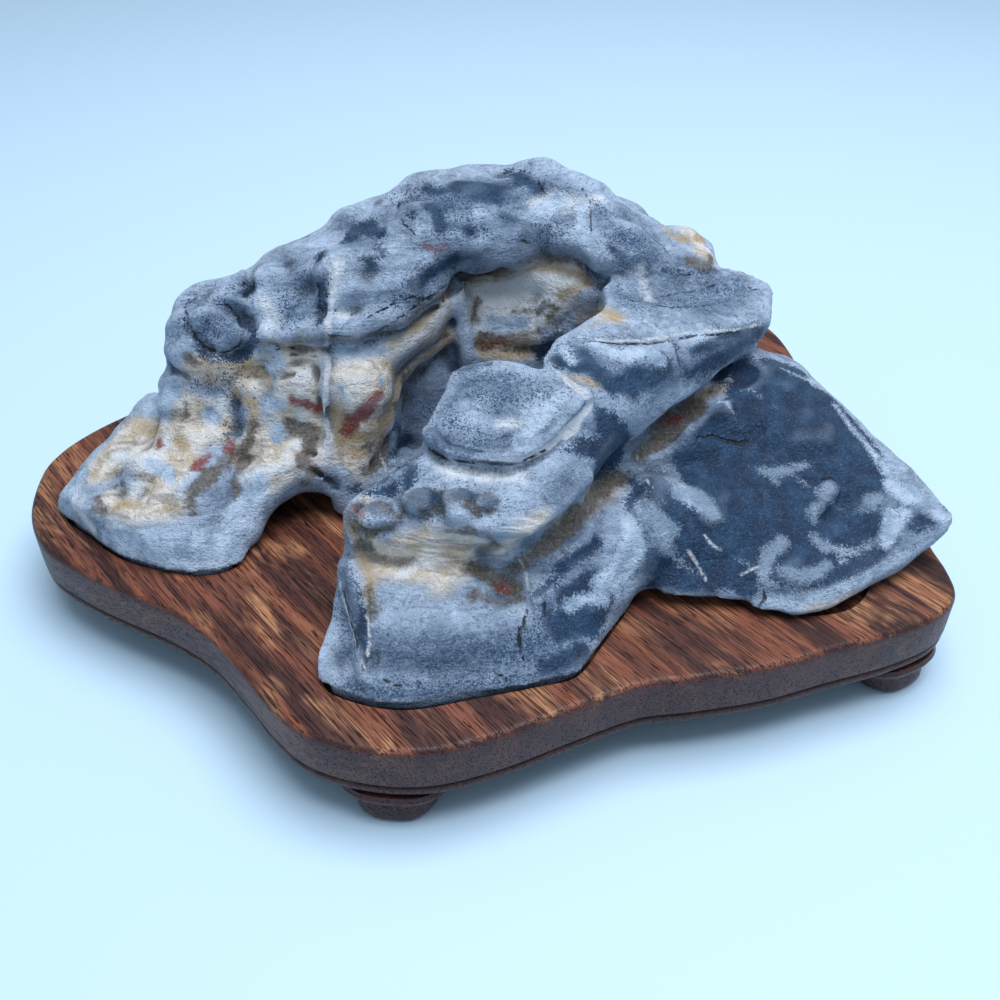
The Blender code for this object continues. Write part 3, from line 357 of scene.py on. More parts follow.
# Rounded lumps: the middle, the three radii and the turn about the vertical.
LUMPS = {
    "ridge_top_left": ((-12, 16, 60), (13, 9, 10), 10),
    "ridge_top_middle": ((1, 18, 61), (12, 9, 11), 0),
    "ridge_top_right": ((13, 21, 62), (11, 9, 11), -10),
    "ridge_crown_left": ((-9, 28, 70), (7, 6, 4), 0),
    "ridge_crown_right": ((18, 31, 72), (6, 5, 4), 0),
    "ridge_step": ((-34, 14, 55), (9, 8, 8), 20),
    "ridge_left_slope": ((-50, 6, 52), (8, 8, 7), 0),
    "knob_end": ((-61, -1.5, 45), (9.5, 8, 8.5), 0),
    "knob_back": ((-71.5, 4, 39), (8, 7, 8), 0),
    "knob_top": ((-60, 5, 50), (5, 4, 3.5), 0),
    "column_middle": ((-73, -6, 27), (8, 8, 8), 0),
    "column_disc": ((-66, -13.5, 28.5), (2.6, 2.2, 2.6), 0),
    "foot_crater_rim": ((-83, -24, 13), (7, 6, 5), 0),
    "foot_ridge_low": ((-95, -9, 9), (6, 5, 4), 0),
    "wall_pillow": ((-44, -10.5, 30), (7, 5.5, 7.5), 0),
    "wall_lobe": ((-27.5, -9.5, 31), (8.5, 8, 7), 0),
    "apron_belly": ((-5, -72, 6), (18, 10, 8), 0),
    "terrace_nodule_end": ((-18, -56, 27), (5.5, 4, 2.6), 0),
    "terrace_nodule_left": ((-9.5, -56, 31), (4.5, 3.2, 2.6), 0),
    "terrace_nodule_middle": ((-0.5, -57.5, 33), (3.6, 2.6, 2.2), 0),
    "terrace_nodule_right": ((5.5, -59, 33.2), (2.8, 2.2, 2), 0),
    "terrace_nodule_low": ((0, -61, 31), (2.8, 2, 1.8), 0),
    "basin_nodule_high": ((20.5, 12.5, 43), (2.5, 2.4, 2.2), 0),
    "basin_nodule_low": ((20.6, 10.8, 39.4), (1.9, 2, 1.8), 0),
    "basin_nodule_right": ((24.5, 11, 42), (2.2, 2.2, 2), 0),
    "recess_nodule_left": ((-22, -14, 6), (4, 4, 4), 0),
    "recess_nodule_right": ((-17, -12, 10), (3.5, 3.5, 3.5), 0),
    "wing_kidney_high": ((89.5, -34.8, 17.6), (3.2, 3, 2.6), 0),
    "wing_kidney_low": ((86, -39, 15.2), (2.8, 2.8, 2.4), 0),
    "wing_swell_high": ((84, -16, 21), (12, 10, 8), -20),
    "wing_swell_low": ((79, -51, 5.5), (10, 7, 5), 0),
    "back_swell_left": ((-24, 42, 16), (9, 8, 8), 20),
    "back_swell_middle": ((16, 55, 20), (8, 6, 9), 0),
    "back_swell_right": ((58, 52, 12), (11, 8, 10), -10),
    "back_knob": ((-8, 44, 46), (7, 6, 6), 0),
}
# Raised rolls: their radius and their path.
ROLLS = {
    "ridge_lip_left": (4.0, [
        (-52, -5.5, 45), (-45, -5, 46.5), (-36, -5, 45.5), (-28, -6, 46.5), (-19, -2, 48),
        (-12, 6, 50.5)]),
    "ridge_lip_right": (3.0, [(-12, 6, 51), (-4, 14, 56), (6, 18, 59), (18, 18, 60), (29, 13, 60)]),
    "ridge_vein": (0.9, [
        (-34.5, 6, 61.6), (-34, -1.6, 57.8), (-34, -3.6, 53.8), (-34, -7.6, 48.6)]),
    "left_facet_edge": (1.0, [
        (-25.5, -56, 18.4), (-24.8, -61, 16.8), (-24, -67, 13.8), (-23, -74, 8.8), (-22, -80, 6.6),
        (-21, -84, 4.6)]),
    "wall_vein": (0.9, [
        (-36, -8, 41), (-36, -11.5, 36), (-36, -16, 29), (-35.5, -18.5, 21), (-35, -21, 13)]),
    "lobe_stem": (5.5, [(-30, -15.5, 13), (-30.5, -20, 4)]),
    "basin_rim": (3.6, [
        (-23, -9, 20), (-22, -7, 24), (-20.5, -1, 29), (-16.5, 5, 32), (-11.5, 9, 34.5),
        (-6.5, 12, 37)]),
    "basin_divider": (3.2, [
        (-2.5, 12.8, 49.5), (-2, 11.4, 45), (-1, 10.4, 41), (-0.4, 10, 36), (0.2, 10.2, 31.5),
        (0.8, 10.5, 26)]),
    "basin_ledge": (1.5, [(1, 11, 28.5), (9, 10.6, 27.5), (17, 10.2, 27.5), (24, 9.8, 29)]),
    "plateau_rim": (1.7, [
        (-8, -42, 39.5), (-3, -47, 38), (4, -49.5, 38), (10, -50.5, 38.5), (14, -50, 39.5),
        (19, -48.5, 41.5), (23, -45, 44.5), (28, -40, 48)]),
    "terrace_lip": (2.4, [(6, -62, 28), (14, -63, 28.5), (21, -57.5, 30), (27, -51, 33)]),
    "scoop_edge": (1.6, [(8, -62, 25), (12, -67, 20), (15, -70, 14)]),
}
# Grooves and undercuts: their radius and their path.
GROOVES = {
    "under_ridge_lip": (1.6, [
        (-53, -9, 41), (-45, -8.3, 42), (-36, -8.6, 42), (-28, -9.5, 43), (-22, -7, 44),
        (-17, -4, 44.5), (-12, 1, 46), (-8, 7, 48)]),
    "under_ridge_right": (1.6, [(-8, 7, 48), (-3, 13, 51), (4, 16.5, 53), (11, 17.5, 54)]),
    "knob_ring": (0.9, [
        (-71, -3, 50), (-69, -7, 47), (-66, -8, 43), (-63, -9, 41), (-60, -8, 39), (-56, -7, 39.5),
        (-53, -7, 43), (-54, -5, 47), (-57, -3, 50), (-61, -2, 52), (-67, -2, 52), (-71, -3, 50)]),
    "under_knob": (2.4, [(-76, -7, 36), (-70, -12, 36), (-62, -13, 35.5), (-53, -10, 36)]),
    "ridge_crease_top": (1.5, [
        (-31, 3, 65), (-21, 1, 62.5), (-10, 5, 61.5), (-2, 8, 58), (9, 9, 61.5), (21, 11, 63)]),
    "ridge_saddle": (2.4, [(28, 25, 75), (28, 13, 70), (27, 8, 62)]),
    "ridge_crease_right": (1.2, [(34, 14, 72), (44, 7, 68), (52, 9, 62)]),
    "ridge_notch": (2.0, [(-24, 24, 69), (-27, 12, 67), (-30, 4, 65)]),
    "ridge_left_notch": (1.2, [(-57, 12, 58.5), (-55, 5, 56), (-54.5, -2.5, 52)]),
    "wall_band_high": (0.8, [(-53, -8.5, 39), (-38, -9, 38.5)]),
    "wall_band_low": (0.8, [(-53, -10.5, 36), (-42, -11, 36)]),
    "under_lobe": (2.2, [(-24, -18.5, 14), (-20.5, -14, 15), (-19, -7, 17)]),
    "arch_ledge_high": (0.8, [
        (-53, -25.5, 18), (-49, -24, 19.5), (-45, -22.5, 20.5), (-42, -20.5, 19.5), (-38, -20, 17),
        (-35, -21, 14)]),
    "arch_ledge_low": (0.9, [
        (-50, -29.5, 14), (-47, -27.5, 16), (-44, -25.8, 16.3), (-40, -24.2, 16), (-37, -22.3, 13),
        (-34, -23.5, 10)]),
    "basin_undercut": (2.2, [(4, 8, 33), (10, 7.6, 32.4), (17, 7.2, 32.4), (28, 6, 34)]),
    "under_plateau": (1.3, [
        (-11, -43.5, 37.5), (-9, -45, 37), (-3, -50, 36.2), (4, -52.3, 36.4), (10, -53.2, 36.8),
        (14, -52.6, 38), (19, -51, 40), (24, -47, 43), (28.5, -41.5, 46.5)]),
    "plateau_ledge_back": (0.9, [(-4, -33, 46.5), (8, -31, 48), (20, -35, 50)]),
    "plateau_ledge_front": (0.8, [(-6, -40, 42.5), (6, -40, 44.5), (18, -43, 46)]),
    "under_terrace": (4.6, [(5, -66, 21), (13, -67, 22), (20, -62, 23), (27, -55, 25)]),
    "scoop_ledge": (1.1, [(-24, -59, 20), (-14, -61, 23.5), (-3, -63, 26), (6, -64, 26)]),
    "limb_valley": (5.0, [(38, -38, 27), (32, -53, 28), (27, -61, 25), (22, -68, 19)]),
    "apron_crease": (1.0, [(13, -71, 15), (14, -76.5, 9.5), (16, -80.5, 5.5), (18, -84, 2)]),
    "left_facet": (4.0, [
        (-31.5, -56, 16.5), (-30.6, -65.5, 14.4), (-29.4, -72, 11.2), (-28, -79, 8),
        (-27, -85, 5.5)]),
    "shelf_edge_line": (1.2, [
        (30, -21.5, 53.5), (37, -20.5, 51.6), (42, -19.5, 50.6), (50, -15.5, 49.6),
        (58, -11.5, 48.6), (69, -5.5, 45.6)]),
    "shelf_ledge": (0.9, [(33, -6, 56), (44, 4, 54.5), (58, 6, 52.5), (72, 8, 49.5)]),
    "wing_crest_line": (1.0, [(92, -16, 28), (100, -23, 23.5), (107, -31, 18.5)]),
    "wing_fold": (0.8, [(52, -43.5, 21), (56, -47.5, 16), (62, -51, 11.5), (68, -56, 7)]),
    "wing_step": (1.0, [
        (57, -27, 29), (61, -26, 29), (65, -25, 27.5), (69, -23, 25.5), (74, -20, 25.5)]),
    "wing_ring": (1.1, [
        (88, -30, 20.5), (92, -32, 19.7), (93.5, -34.5, 17.7), (92, -38, 15.5), (89, -41, 14.5),
        (86, -43.5, 14.5)]),
    "under_shelf": (4.0, [(42, -33, 28), (52, -22, 31), (62, -14, 33), (72, -6, 35)]),
    "shelf_crease": (0.9, [(50.5, -14, 50), (52, -18.5, 46.5), (53, -21, 42)]),
    "back_crease_left": (2.2, [(-30, 38, 50), (-30, 46, 34), (-33, 48, 12)]),
    "back_crease_middle": (2.4, [(22, 46, 60), (18, 58, 40), (20, 63, 12)]),
    "back_crease_right": (2.4, [(50, 44, 50), (52, 58, 32), (48, 64, 12)]),
    "back_ledge_high": (1.6, [
        (-56, 26, 34), (-40, 42, 33), (-14, 50, 36), (6, 60, 38), (30, 60, 37), (50, 58, 26)]),
    "back_ledge_low": (1.8, [
        (-56, 34, 14), (-38, 48, 12), (-10, 58, 15), (12, 64, 13), (40, 66, 16), (62, 60, 8)]),
}
# Pits and hollows: the middle, the three radii and the turn about the vertical.
PITS = {
    "knob_facet": ((-62.5, -27, 61.5), (25.4, 25.4, 25.4), 0),
    "knob_step": ((-71.5, 3, 60), (8.5, 10, 10.5), 0),
    "ridge_facet_left": ((-45.5, -21, 67.8), (25, 25, 25), 0),
    "ridge_patch_left": ((-26, 2, 65), (5, 4, 3), 0),
    "ridge_patch_low": ((-24, -2, 60), (4, 3, 3), 0),
    "ridge_patch_top": ((12, 27, 76), (6, 5, 2.5), 0),
    "foot_crater": ((-83, -30, 17), (3, 3, 2.4), 0),
    "foot_hollow_front": ((-76, -42, 24), (10, 12, 12), 0),
    "foot_hollow_right": ((-50, -40, 22), (8, 10, 10), 0),
    "scoop_end": ((11, -69, 17), (6, 6, 5), 0),
    "shelf_dish": ((52, 4, 58), (17, 9, 6), 15),
    "wing_dip": ((69, -35.5, 34.5), (16, 16, 16), 0),
    "wing_dip_low": ((70, -56, 21), (11, 14, 12), 0),
    "wing_dip_ring": ((95, -43.5, 21), (8, 8, 8), 0),
    "wing_tip_dip": ((108, -38, 18), (8, 4, 3), -20),
    "back_hollow_high": ((-18, 50, 30), (8, 7, 10), 10),
    "back_hollow_right": ((58, 64, 26), (8, 8, 6), -20),
    "back_low_arch": ((-20, 60, -3), (13, 13, 13), 0),
}
# How softly the relief meets the skin. A wider groove has a softer edge.
LUMP_BLEND = 2.0
ROLL_BLEND = 1.6
PIT_BLEND = 1.6
GROOVE_BLEND = 0.5
GROOVE_BLEND_SHARE = 0.3

# Ripples of the worn skin: their wavelength and height.
RIPPLES = ((26.0, 0.9), (13.0, 0.75), (7.0, 0.4))
RIPPLE_WAVES = 9
RIPPLE_SEED = 11
# They are full along this limb, and fade over a reach to a share of their height.
ROUGH_SPINE = ((-84, -14, 8, 10), (-70, 0, 34, 12), (-45, 13, 48, 16), (-4, 26, 56, 18),
               (43, 24, 54, 15), (60, 48, 30, 18), (0, 50, 20, 20), (-42, 34, 16, 16))
ROUGH_REACH = 12.0
SMOOTH_SHARE = 0.35

# Where the rock sits in the board: the outline of each of its feet at the board's top.
SEATS = {
    "left": [(-106, -21), (-98, -30), (-86, -39.5), (-72, -44.5), (-63, -45), (-58, -41),
             (-59, -28), (-60, -8), (-63, 6), (-76, 9), (-90, 10), (-99, -3)],
    "front": [(-30, -80), (-25, -85.5), (-12, -88.5), (4, -85), (16, -82), (25, -79), (31, -70),
              (38, -58), (40, -51), (28, -45), (-10, -44), (-27, -46), (-29, -62)],
    "right": [(76, -58), (84, -59.5), (93, -56.5), (98.5, -48), (93, -42), (80, -44), (74, -50)],
    "back": [(-48, 6), (-28, 6), (-4, 6), (26, 6), (58, 12), (78, 14), (79, 24), (73, 36),
             (66, 45), (52, 51), (36, 55), (14, 55.5), (-2, 51), (-14, 46), (-28, 43), (-42, 34),
             (-51, 23), (-55, 16)],
}
SEAT_TRIM_STEPS = 2


def ripples(x, y, z):
    """Seeded waves in all directions that roughen the worn skin."""
    chance = np.random.default_rng(RIPPLE_SEED)
    total = 0.0
    for length, height in RIPPLES:
        for _ in range(RIPPLE_WAVES):
            way = chance.normal(size=3)
            way *= 2.0 * math.pi / (length * np.linalg.norm(way))
            phase = chance.uniform(0.0, 2.0 * math.pi)
            total = total + height / math.sqrt(RIPPLE_WAVES) * np.sin(
                way[0] * x + way[1] * y + way[2] * z + phase)
    return total


def outline_distance(outline, x, y):
    """Distance to a flat outline, below zero inside it."""
    nearest, inside = None, False
    for (x0, y0), (x1, y1) in zip(outline, outline[1:] + outline[:1]):
        run_x, run_y = x1 - x0, y1 - y0
        share = ((x - x0) * run_x + (y - y0) * run_y) / (run_x * run_x + run_y * run_y)
        share = np.clip(share, 0.0, 1.0)
        gap = np.hypot(x - x0 - run_x * share, y - y0 - run_y * share)
        nearest = gap if nearest is None else np.minimum(nearest, gap)
        crosses = ((y0 > y) != (y1 > y)) & (x < run_x * (y - y0) / (run_y or TINY) + x0)
        inside = crosses if inside is False else inside ^ crosses
    return np.where(inside, -nearest, nearest)


def shape_rock(stone):
    """Join the masses, cut the hollows and lay the relief over both."""
    for form, blend in MASSES.values():
        stone.add(form, blend)
    for action, form, blend in HOLLOWS.values():
        action(stone, form, blend)
    for middle, radii, turn in LUMPS.values():
        stone.add(ball(middle, radii, turn), LUMP_BLEND)
    for radius, path in ROLLS.values():
        stone.add(limb(*[(*point, radius) for point in path]), ROLL_BLEND)
    for middle, radii, turn in PITS.values():
        stone.cut(ball(middle, radii, turn), PIT_BLEND)
    for radius, path in GROOVES.values():
        blend = GROOVE_BLEND + GROOVE_BLEND_SHARE * radius
        stone.cut(limb(*[(*point, radius) for point in path]), blend)


def roughen(stone):
    """Ripple the skin, most of all along the ridge and the back."""
    x, y, z = (stone.axes[0][:, None, None], stone.axes[1][None, :, None],
               stone.axes[2][None, None, :])
    off_ridge = limb(*ROUGH_SPINE)[0](x, y, z)
    nearness = np.clip(1.0 - off_ridge / ROUGH_REACH, 0.0, 1.0)
    rough = SMOOTH_SHARE + (1.0 - SMOOTH_SHARE) * nearness
    stone.values = stone.values + rough * ripples(x, y, z)


def rest_on_board(stone):
    """Trim the underside: flat in the seats and clear of the board between them."""
    x, y, z = stone.axes[0][:, None], stone.axes[1][None, :], stone.axes[2][None, None, :]
    outlines = [smooth_outline(outline, SEAT_TRIM_STEPS).tolist() for outline in SEATS.values()]
    seats = np.min([outline_distance(outline, x, y) for outline in outlines], axis=0)
    clear = np.minimum(seats[:, :, None], BOARD_CLEARANCE - z)
    stone.values = np.maximum(stone.values, clear)
    stone.values = np.maximum(stone.values, TOUCHING_GAP - SEAT_DEPTH - z)


def rock_field():
    """The whole rock as distances on its grid."""
    stone = Stone(ROCK_LOW, ROCK_HIGH, GRID_STEP)
    shape_rock(stone)
    roughen(stone)
    rest_on_board(stone)
    return stone


# The board's outline at its top edge, anticlockwise from the left lobe.
BOARD_OUTLINE = [
    (-120, -4), (-117, -21), (-109, -35), (-97, -44.5), (-84, -52), (-71, -59), (-60, -67),
    (-51, -77), (-42, -88), (-33, -96), (-20, -100.5), (-6, -101), (9, -96.5), (26, -88.5),
    (40, -82.5), (53, -80.5), (70, -77), (86, -71.5), (101, -66.5), (113, -60.5), (119.5, -53),
    (120.5, -44), (119.5, -33), (121.5, -20), (121, -8), (116, 8), (109, 26), (105, 46), (105, 62),
    (102, 78), (95, 90), (82, 97), (64, 97), (46, 91), (26, 81), (6, 71), (-16, 64), (-40, 59),
    (-62, 54), (-80, 46), (-94, 36), (-106, 25), (-114, 15), (-118.5, 6),
]
OUTLINE_STEPS = 6
# The rings of the board's lower edge: how far in and how far up each lies.
BOARD_FOOT_RINGS = ((0.6, 0.0), (0.15, 0.25), (0.0, 0.8))
BOARD_EDGE_RADIUS = 1.8
BOARD_EDGE_STEPS = 6
# The flat ring inside the rounded top edge.
BOARD_FLAT_INSET = 0.6
# How far a seat's cutter stands out of the board.
CUTTER_RISE = 1.0

# The moulding's half-round edge under the board.
MOULDING_INSET = 0.2
MOULDING_EDGE_STEPS = 12

# The bracket feet. Their outer faces curve in at the ends.
FOOT_PLACES = {"front": (-16, -101), "right": (111, -62), "back": (92, 91), "left": (-119, 2)}
FOOT_DEPTH = 15.0
FOOT_POINTS = 25
FOOT_ROUNDING = 4.5
FOOT_ROUNDING_POWER = 4
# Each level of a foot: its height, the inset of its outer face and its half length.
FOOT_LEVELS = [(0.0, 1.7, 8.2), (0.5, 1.1, 8.8), (1.6, 0.6, 9.4), (3.2, 0.8, 10.0),
               (4.6, 1.3, 10.6), (5.6, 1.3, 11.2), (6.4, 0.9, 11.8), (7.0, 0.2, 12.4),
               (7.6, -0.3, 12.8), (8.6, -0.6, 13.0), (9.7, 0.0, 12.8)]


def smooth_outline(points, steps):
    """A closed smooth curve through an outline's points."""
    curve = []
    count = len(points)
    for i in range(count):
        before, start, end, after = (np.array(points[(i + offset) % count], float)
                                     for offset in (-1, 0, 1, 2))
        for step in range(steps):
            t = step / steps
            curve.append(0.5 * (2 * start + (end - before) * t
                                + (2 * before - 5 * start + 4 * end - after) * t ** 2
                                + (3 * start - before - 3 * end + after) * t ** 3))
    return np.array(curve)


def outward(outline):
    """The outward direction at each point of an anticlockwise outline."""
    along = np.roll(outline, -1, axis=0) - np.roll(outline, 1, axis=0)
    normals = np.stack([along[:, 1], -along[:, 0]], axis=1)
    return normals / np.linalg.norm(normals, axis=1)[:, None]


def loft(name, rings, material):
    """A closed solid through rings of points, from the lowest ring to the highest."""
    count = len(rings[0])
    points = [tuple(point) for ring in rings for point in ring]
    faces = [tuple(reversed(range(count)))]
    for level in range(len(rings) - 1):
        low, high = level * count, (level + 1) * count
        for i in range(count):
            following = (i + 1) % count
            faces.append((low + i, low + following, high + following, high + i))
    faces.append(tuple(range((len(rings) - 1) * count, len(rings) * count)))
    return make_object(name, points, faces, material)


def ring_at(outline, height):
    """An outline's points at a height."""
    return [(x, y, height) for x, y in outline]


def keep_largest_body(mesh):
    """Delete every loose piece of a mesh but the one with the most corners."""
    body = bmesh.new()
    body.from_mesh(mesh)
    unseen = set(body.verts)
    pieces = []
    while unseen:
        waiting = [unseen.pop()]
        piece = set(waiting)
        while waiting:
            corner = waiting.pop()
            for edge in corner.link_edges:
                other = edge.other_vert(corner)
                if other not in piece:
                    piece.add(other)
                    waiting.append(other)
        unseen -= piece
        pieces.append(piece)
    pieces.sort(key=len)
    for piece in pieces[:-1]:
        bmesh.ops.delete(body, geom=list(piece), context="VERTS")
    body.to_mesh(mesh)
    body.free()


def put_in_scene(name, data):
    """A new object of the scene that holds a mesh, a lamp or a camera."""
    item = bpy.data.objects.new(name, data)
    bpy.context.scene.collection.objects.link(item)
    return item


def make_object(name, points, faces, material):
    """A mesh object from points in millimetres of the plan."""
    mesh = bpy.data.meshes.new(name)
    mesh.from_pydata(((np.asarray(points) - MIDDLE) * MM).tolist(), [], faces)
    mesh.materials.append(material)
    return put_in_scene(name, mesh)


# ---------------------------------------------------------------- marks on the stone
# Each mark is a stroke over the stone's skin, as the camera sees it: points across and down
# the picture in pixels, with the stroke's half width there.
DARK = {
    "ridge_spot": [(349, 240, 7), (355, 229, 8), (368, 227, 10), (381, 233, 6)],
    "ridge_spot_low": [(377, 245, 3), (382, 252, 4)],
    "ridge_spot_foot": [(362, 258, 3), (372, 264, 7)],
    "crown_end": [(508, 172, 5), (520, 178, 8), (535, 187, 8)],
    "crown_middle": [(455, 185, 8), (476, 188, 11), (500, 190, 9)],
    "crown_low": [(470, 197, 5), (500, 200, 6)],
    "crown_left": [(428, 187, 5), (440, 192, 6)],
    "crown_spot_left": [(409, 207, 6), (411, 213, 4)],
    "crown_spot_blue": [(430, 207, 6), (438, 218, 7), (443, 228, 5)],
    "basin_corner": [(588, 268, 5), (596, 275, 5)],
    "knob_rim": [
        (181, 318, 1.5), (190, 333, 2), (197, 346, 4), (210, 356, 5), (232, 359, 5), (248, 352, 6),
        (255, 338, 4), (246, 324, 3), (240, 312, 2)],
    "knob_top_crease": [(236, 297, 3), (249, 292, 4), (254, 283, 5), (243, 283, 3)],
    "right_of_rim": [(598, 410, 6), (606, 424, 15), (618, 438, 17), (612, 455, 17), (600, 466, 13)],
    "under_rim": [(602, 450, 14), (583, 448, 9), (566, 449, 3)],
    "shelf_corner": [(541, 356, 6), (549, 343, 8), (560, 335, 6)],
    "shelf_front_left": [(556, 360, 8), (575, 368, 7), (590, 366, 5)],
    "shelf_front_middle": [(583, 352, 5), (596, 372, 8), (612, 385, 10), (632, 388, 10)],
    "shelf_front_low": [(632, 375, 10), (652, 380, 9), (668, 370, 8)],
    "shelf_crack": [(671, 340, 2.5), (676, 352, 3.5), (678, 368, 4)],
    "shelf_edge_right": [(690, 352, 4), (715, 343, 6), (740, 336, 7), (757, 327, 5)],
    # Dark stone, darkened further as painted shadow under the shelf's front edge.
    "shelf_under": [(688, 374, 6), (706, 366, 8), (726, 357, 9), (745, 346, 9), (760, 333, 8)],
    "shelf_under_deep": [(700, 382, 5), (722, 374, 7), (745, 362, 7), (765, 345, 6)],
    "shelf_top_line": [(663, 270, 2.2), (676, 272, 1.6), (700, 273, 1.2), (724, 270, 1.2)],
    "shelf_top_spot": [(612, 250, 4), (622, 256, 3)],
    "valley_wedge": [(594, 541, 8), (580, 552, 8), (562, 570, 8), (546, 586, 6), (534, 598, 3)],
    "left_facet": [(346, 568, 5), (351, 590, 7), (357, 612, 8), (361, 635, 6), (364, 660, 3)],
    "limb_patch": [(562, 628, 14), (580, 618, 18), (594, 628, 14)],
    "limb_patch_high": [(566, 594, 11), (583, 585, 12), (596, 577, 8)],
    "limb_patch_low": [(545, 666, 9), (566, 661, 12), (586, 652, 11)],
    "limb_patch_edge": [(600, 603, 9), (592, 640, 5), (612, 600, 6)],
    "limb_stripe": [(543, 597, 3), (547, 612, 4), (551, 626, 3)],
    "recess": [(385, 478, 9), (398, 460, 10), (404, 440, 9), (412, 470, 9), (408, 485, 9)],
    "plateau_left": [(432, 432, 5), (445, 443, 6), (462, 450, 5), (480, 452, 3)],
    "plateau_top": [(455, 372, 3), (470, 366, 4), (490, 364, 3)],
    "ridge_left_edge": [(322, 255, 5), (321, 280, 5), (322, 305, 4), (320, 322, 3)],
    "ridge_band": [(415, 285, 5), (435, 270, 6), (455, 258, 6)],
    "recess_low": [(355, 488, 6), (372, 492, 7), (392, 490, 7)],
    "recess_side": [(395, 425, 4), (402, 440, 6)],
    "wing_edge": [(733, 392, 10), (752, 375, 12), (777, 364, 10), (800, 372, 10)],
    "wing_crest": [(775, 372, 14), (806, 393, 21), (838, 422, 23), (864, 455, 21), (880, 482, 13)],
    "wing_top": [(742, 402, 20), (775, 430, 28), (810, 460, 28), (845, 490, 22)],
    "wing_middle": [
        (705, 430, 16), (738, 455, 26), (775, 490, 28), (812, 520, 26), (850, 528, 22),
        (876, 522, 13), (890, 538, 9)],
    "wing_seam_high": [
        (745, 375, 18), (785, 395, 21), (820, 422, 21), (848, 452, 20), (864, 480, 17)],
    "wing_seam_left": [(706, 412, 17), (725, 428, 19), (745, 445, 15)],
    "wing_seam_middle": [(690, 445, 17), (712, 470, 19), (740, 492, 19), (765, 508, 17)],
    "wing_seam_crest": [(826, 400, 14), (850, 428, 14), (870, 455, 14), (880, 472, 9)],
    "wing_seam_low": [
        (690, 520, 15), (712, 535, 18), (742, 548, 17), (770, 560, 12), (800, 566, 10)],
    "wing_low": [(683, 455, 14), (715, 490, 24), (748, 520, 26), (787, 545, 24), (825, 562, 16)],
    "wing_left": [(655, 480, 12), (672, 510, 17), (695, 540, 24), (722, 568, 22), (745, 582, 16)],
    "wing_neck": [(632, 478, 5), (640, 490, 7), (630, 503, 7)],
    "wing_foot": [(655, 562, 13), (676, 577, 13), (705, 588, 11), (650, 583, 7)],
    "wing_front": [(780, 572, 12), (812, 580, 10), (845, 572, 10), (868, 560, 8), (888, 548, 4)],
    "crown_blue": [(452, 225, 4), (470, 232, 5)],
    "nodule_left": [(412, 498, 4), (424, 494, 6), (436, 500, 5)],
    "nodule_middle": [(456, 494, 3), (465, 492, 5), (474, 496, 4)],
    "nodule_right": [(486, 500, 4), (493, 501, 4)],
    "nodule_end": [(362, 506, 3), (376, 506, 5)],
    "wing_tip_spot": [(908, 528, 4), (921, 521, 6), (934, 522, 4), (915, 532, 3)],
    "wing_tip_dot": [(944, 507, 2.6), (950, 512, 2)],
}
# Dark grains thinly strewn over the lilac skin.
SPECKLED = {
    "ridge_lip": [(395, 300, 8), (412, 283, 14), (435, 270, 14), (458, 261, 8)],
    "ridge_lip_end": [(392, 306, 6), (410, 303, 8)],
    "ridge_left": [(300, 275, 10), (306, 300, 8), (285, 300, 10), (292, 322, 8)],
    "ridge_crown": [(400, 200, 12), (440, 200, 16), (490, 190, 18), (530, 185, 10)],
    "ridge_crown_low": [(440, 225, 14), (480, 230, 12), (470, 215, 10)],
    "ridge_front": [(548, 230, 12), (565, 232, 8), (545, 245, 8)],
    "ridge_right": [(600, 205, 8), (612, 215, 8)],
    "ridge_shoulder": [(620, 235, 16), (640, 245, 14), (620, 258, 10)],
    "under_knob": [(200, 384, 8), (222, 378, 9), (242, 376, 7)],
    "under_knob_right": [(228, 390, 6), (234, 405, 5), (240, 425, 6), (228, 437, 6)],
    "plateau_top": [(470, 368, 8), (500, 378, 9), (535, 385, 8)],
    "plateau_middle": [(480, 395, 10), (520, 400, 10), (550, 392, 8)],
    "plateau_left": [(432, 412, 8), (430, 425, 8), (445, 440, 9), (470, 445, 7)],
    "plateau_low": [(450, 420, 10), (475, 432, 8), (500, 440, 5)],
    "shelf_front": [(560, 350, 16), (600, 375, 18), (640, 385, 18), (665, 365, 14)],
    "shelf_front_high": [(585, 340, 6), (625, 350, 8)],
    "shelf_right": [(700, 345, 10), (740, 335, 10)],
    "limb_right": [(560, 610, 20), (585, 600, 18), (560, 655, 14)],
    "wing_left_edge": [(655, 560, 12), (660, 585, 12), (700, 590, 10)],
    "wing_islands": [(745, 510, 12), (730, 525, 12), (760, 520, 10)],
    "foot_column": [(232, 400, 6), (244, 410, 7), (232, 430, 6)],
    "nodule_left": [(408, 496, 8), (425, 492, 12), (440, 499, 10), (425, 510, 9)],
    "nodule_middle": [(455, 494, 8), (468, 492, 9), (490, 501, 9), (474, 508, 8)],
    "corner": [(350, 510, 8), (368, 515, 12), (388, 512, 10)],
    "knob": [(200, 322, 12), (215, 334, 14), (232, 328, 12)],
    "knob_top": [(190, 300, 8), (215, 298, 8), (240, 295, 8)],
    "apron_foot": [(345, 690, 9), (400, 695, 12), (460, 691, 12), (520, 681, 10), (560, 669, 10)],
    "apron_right": [(505, 655, 14), (540, 640, 14), (555, 600, 12)],
    "limb": [(575, 640, 16), (590, 605, 14)],
    "shelf_top": [(600, 285, 8), (640, 310, 8), (700, 300, 8), (745, 285, 8)],
    "left_facet": [(338, 575, 7), (345, 610, 8), (352, 645, 8)],
}
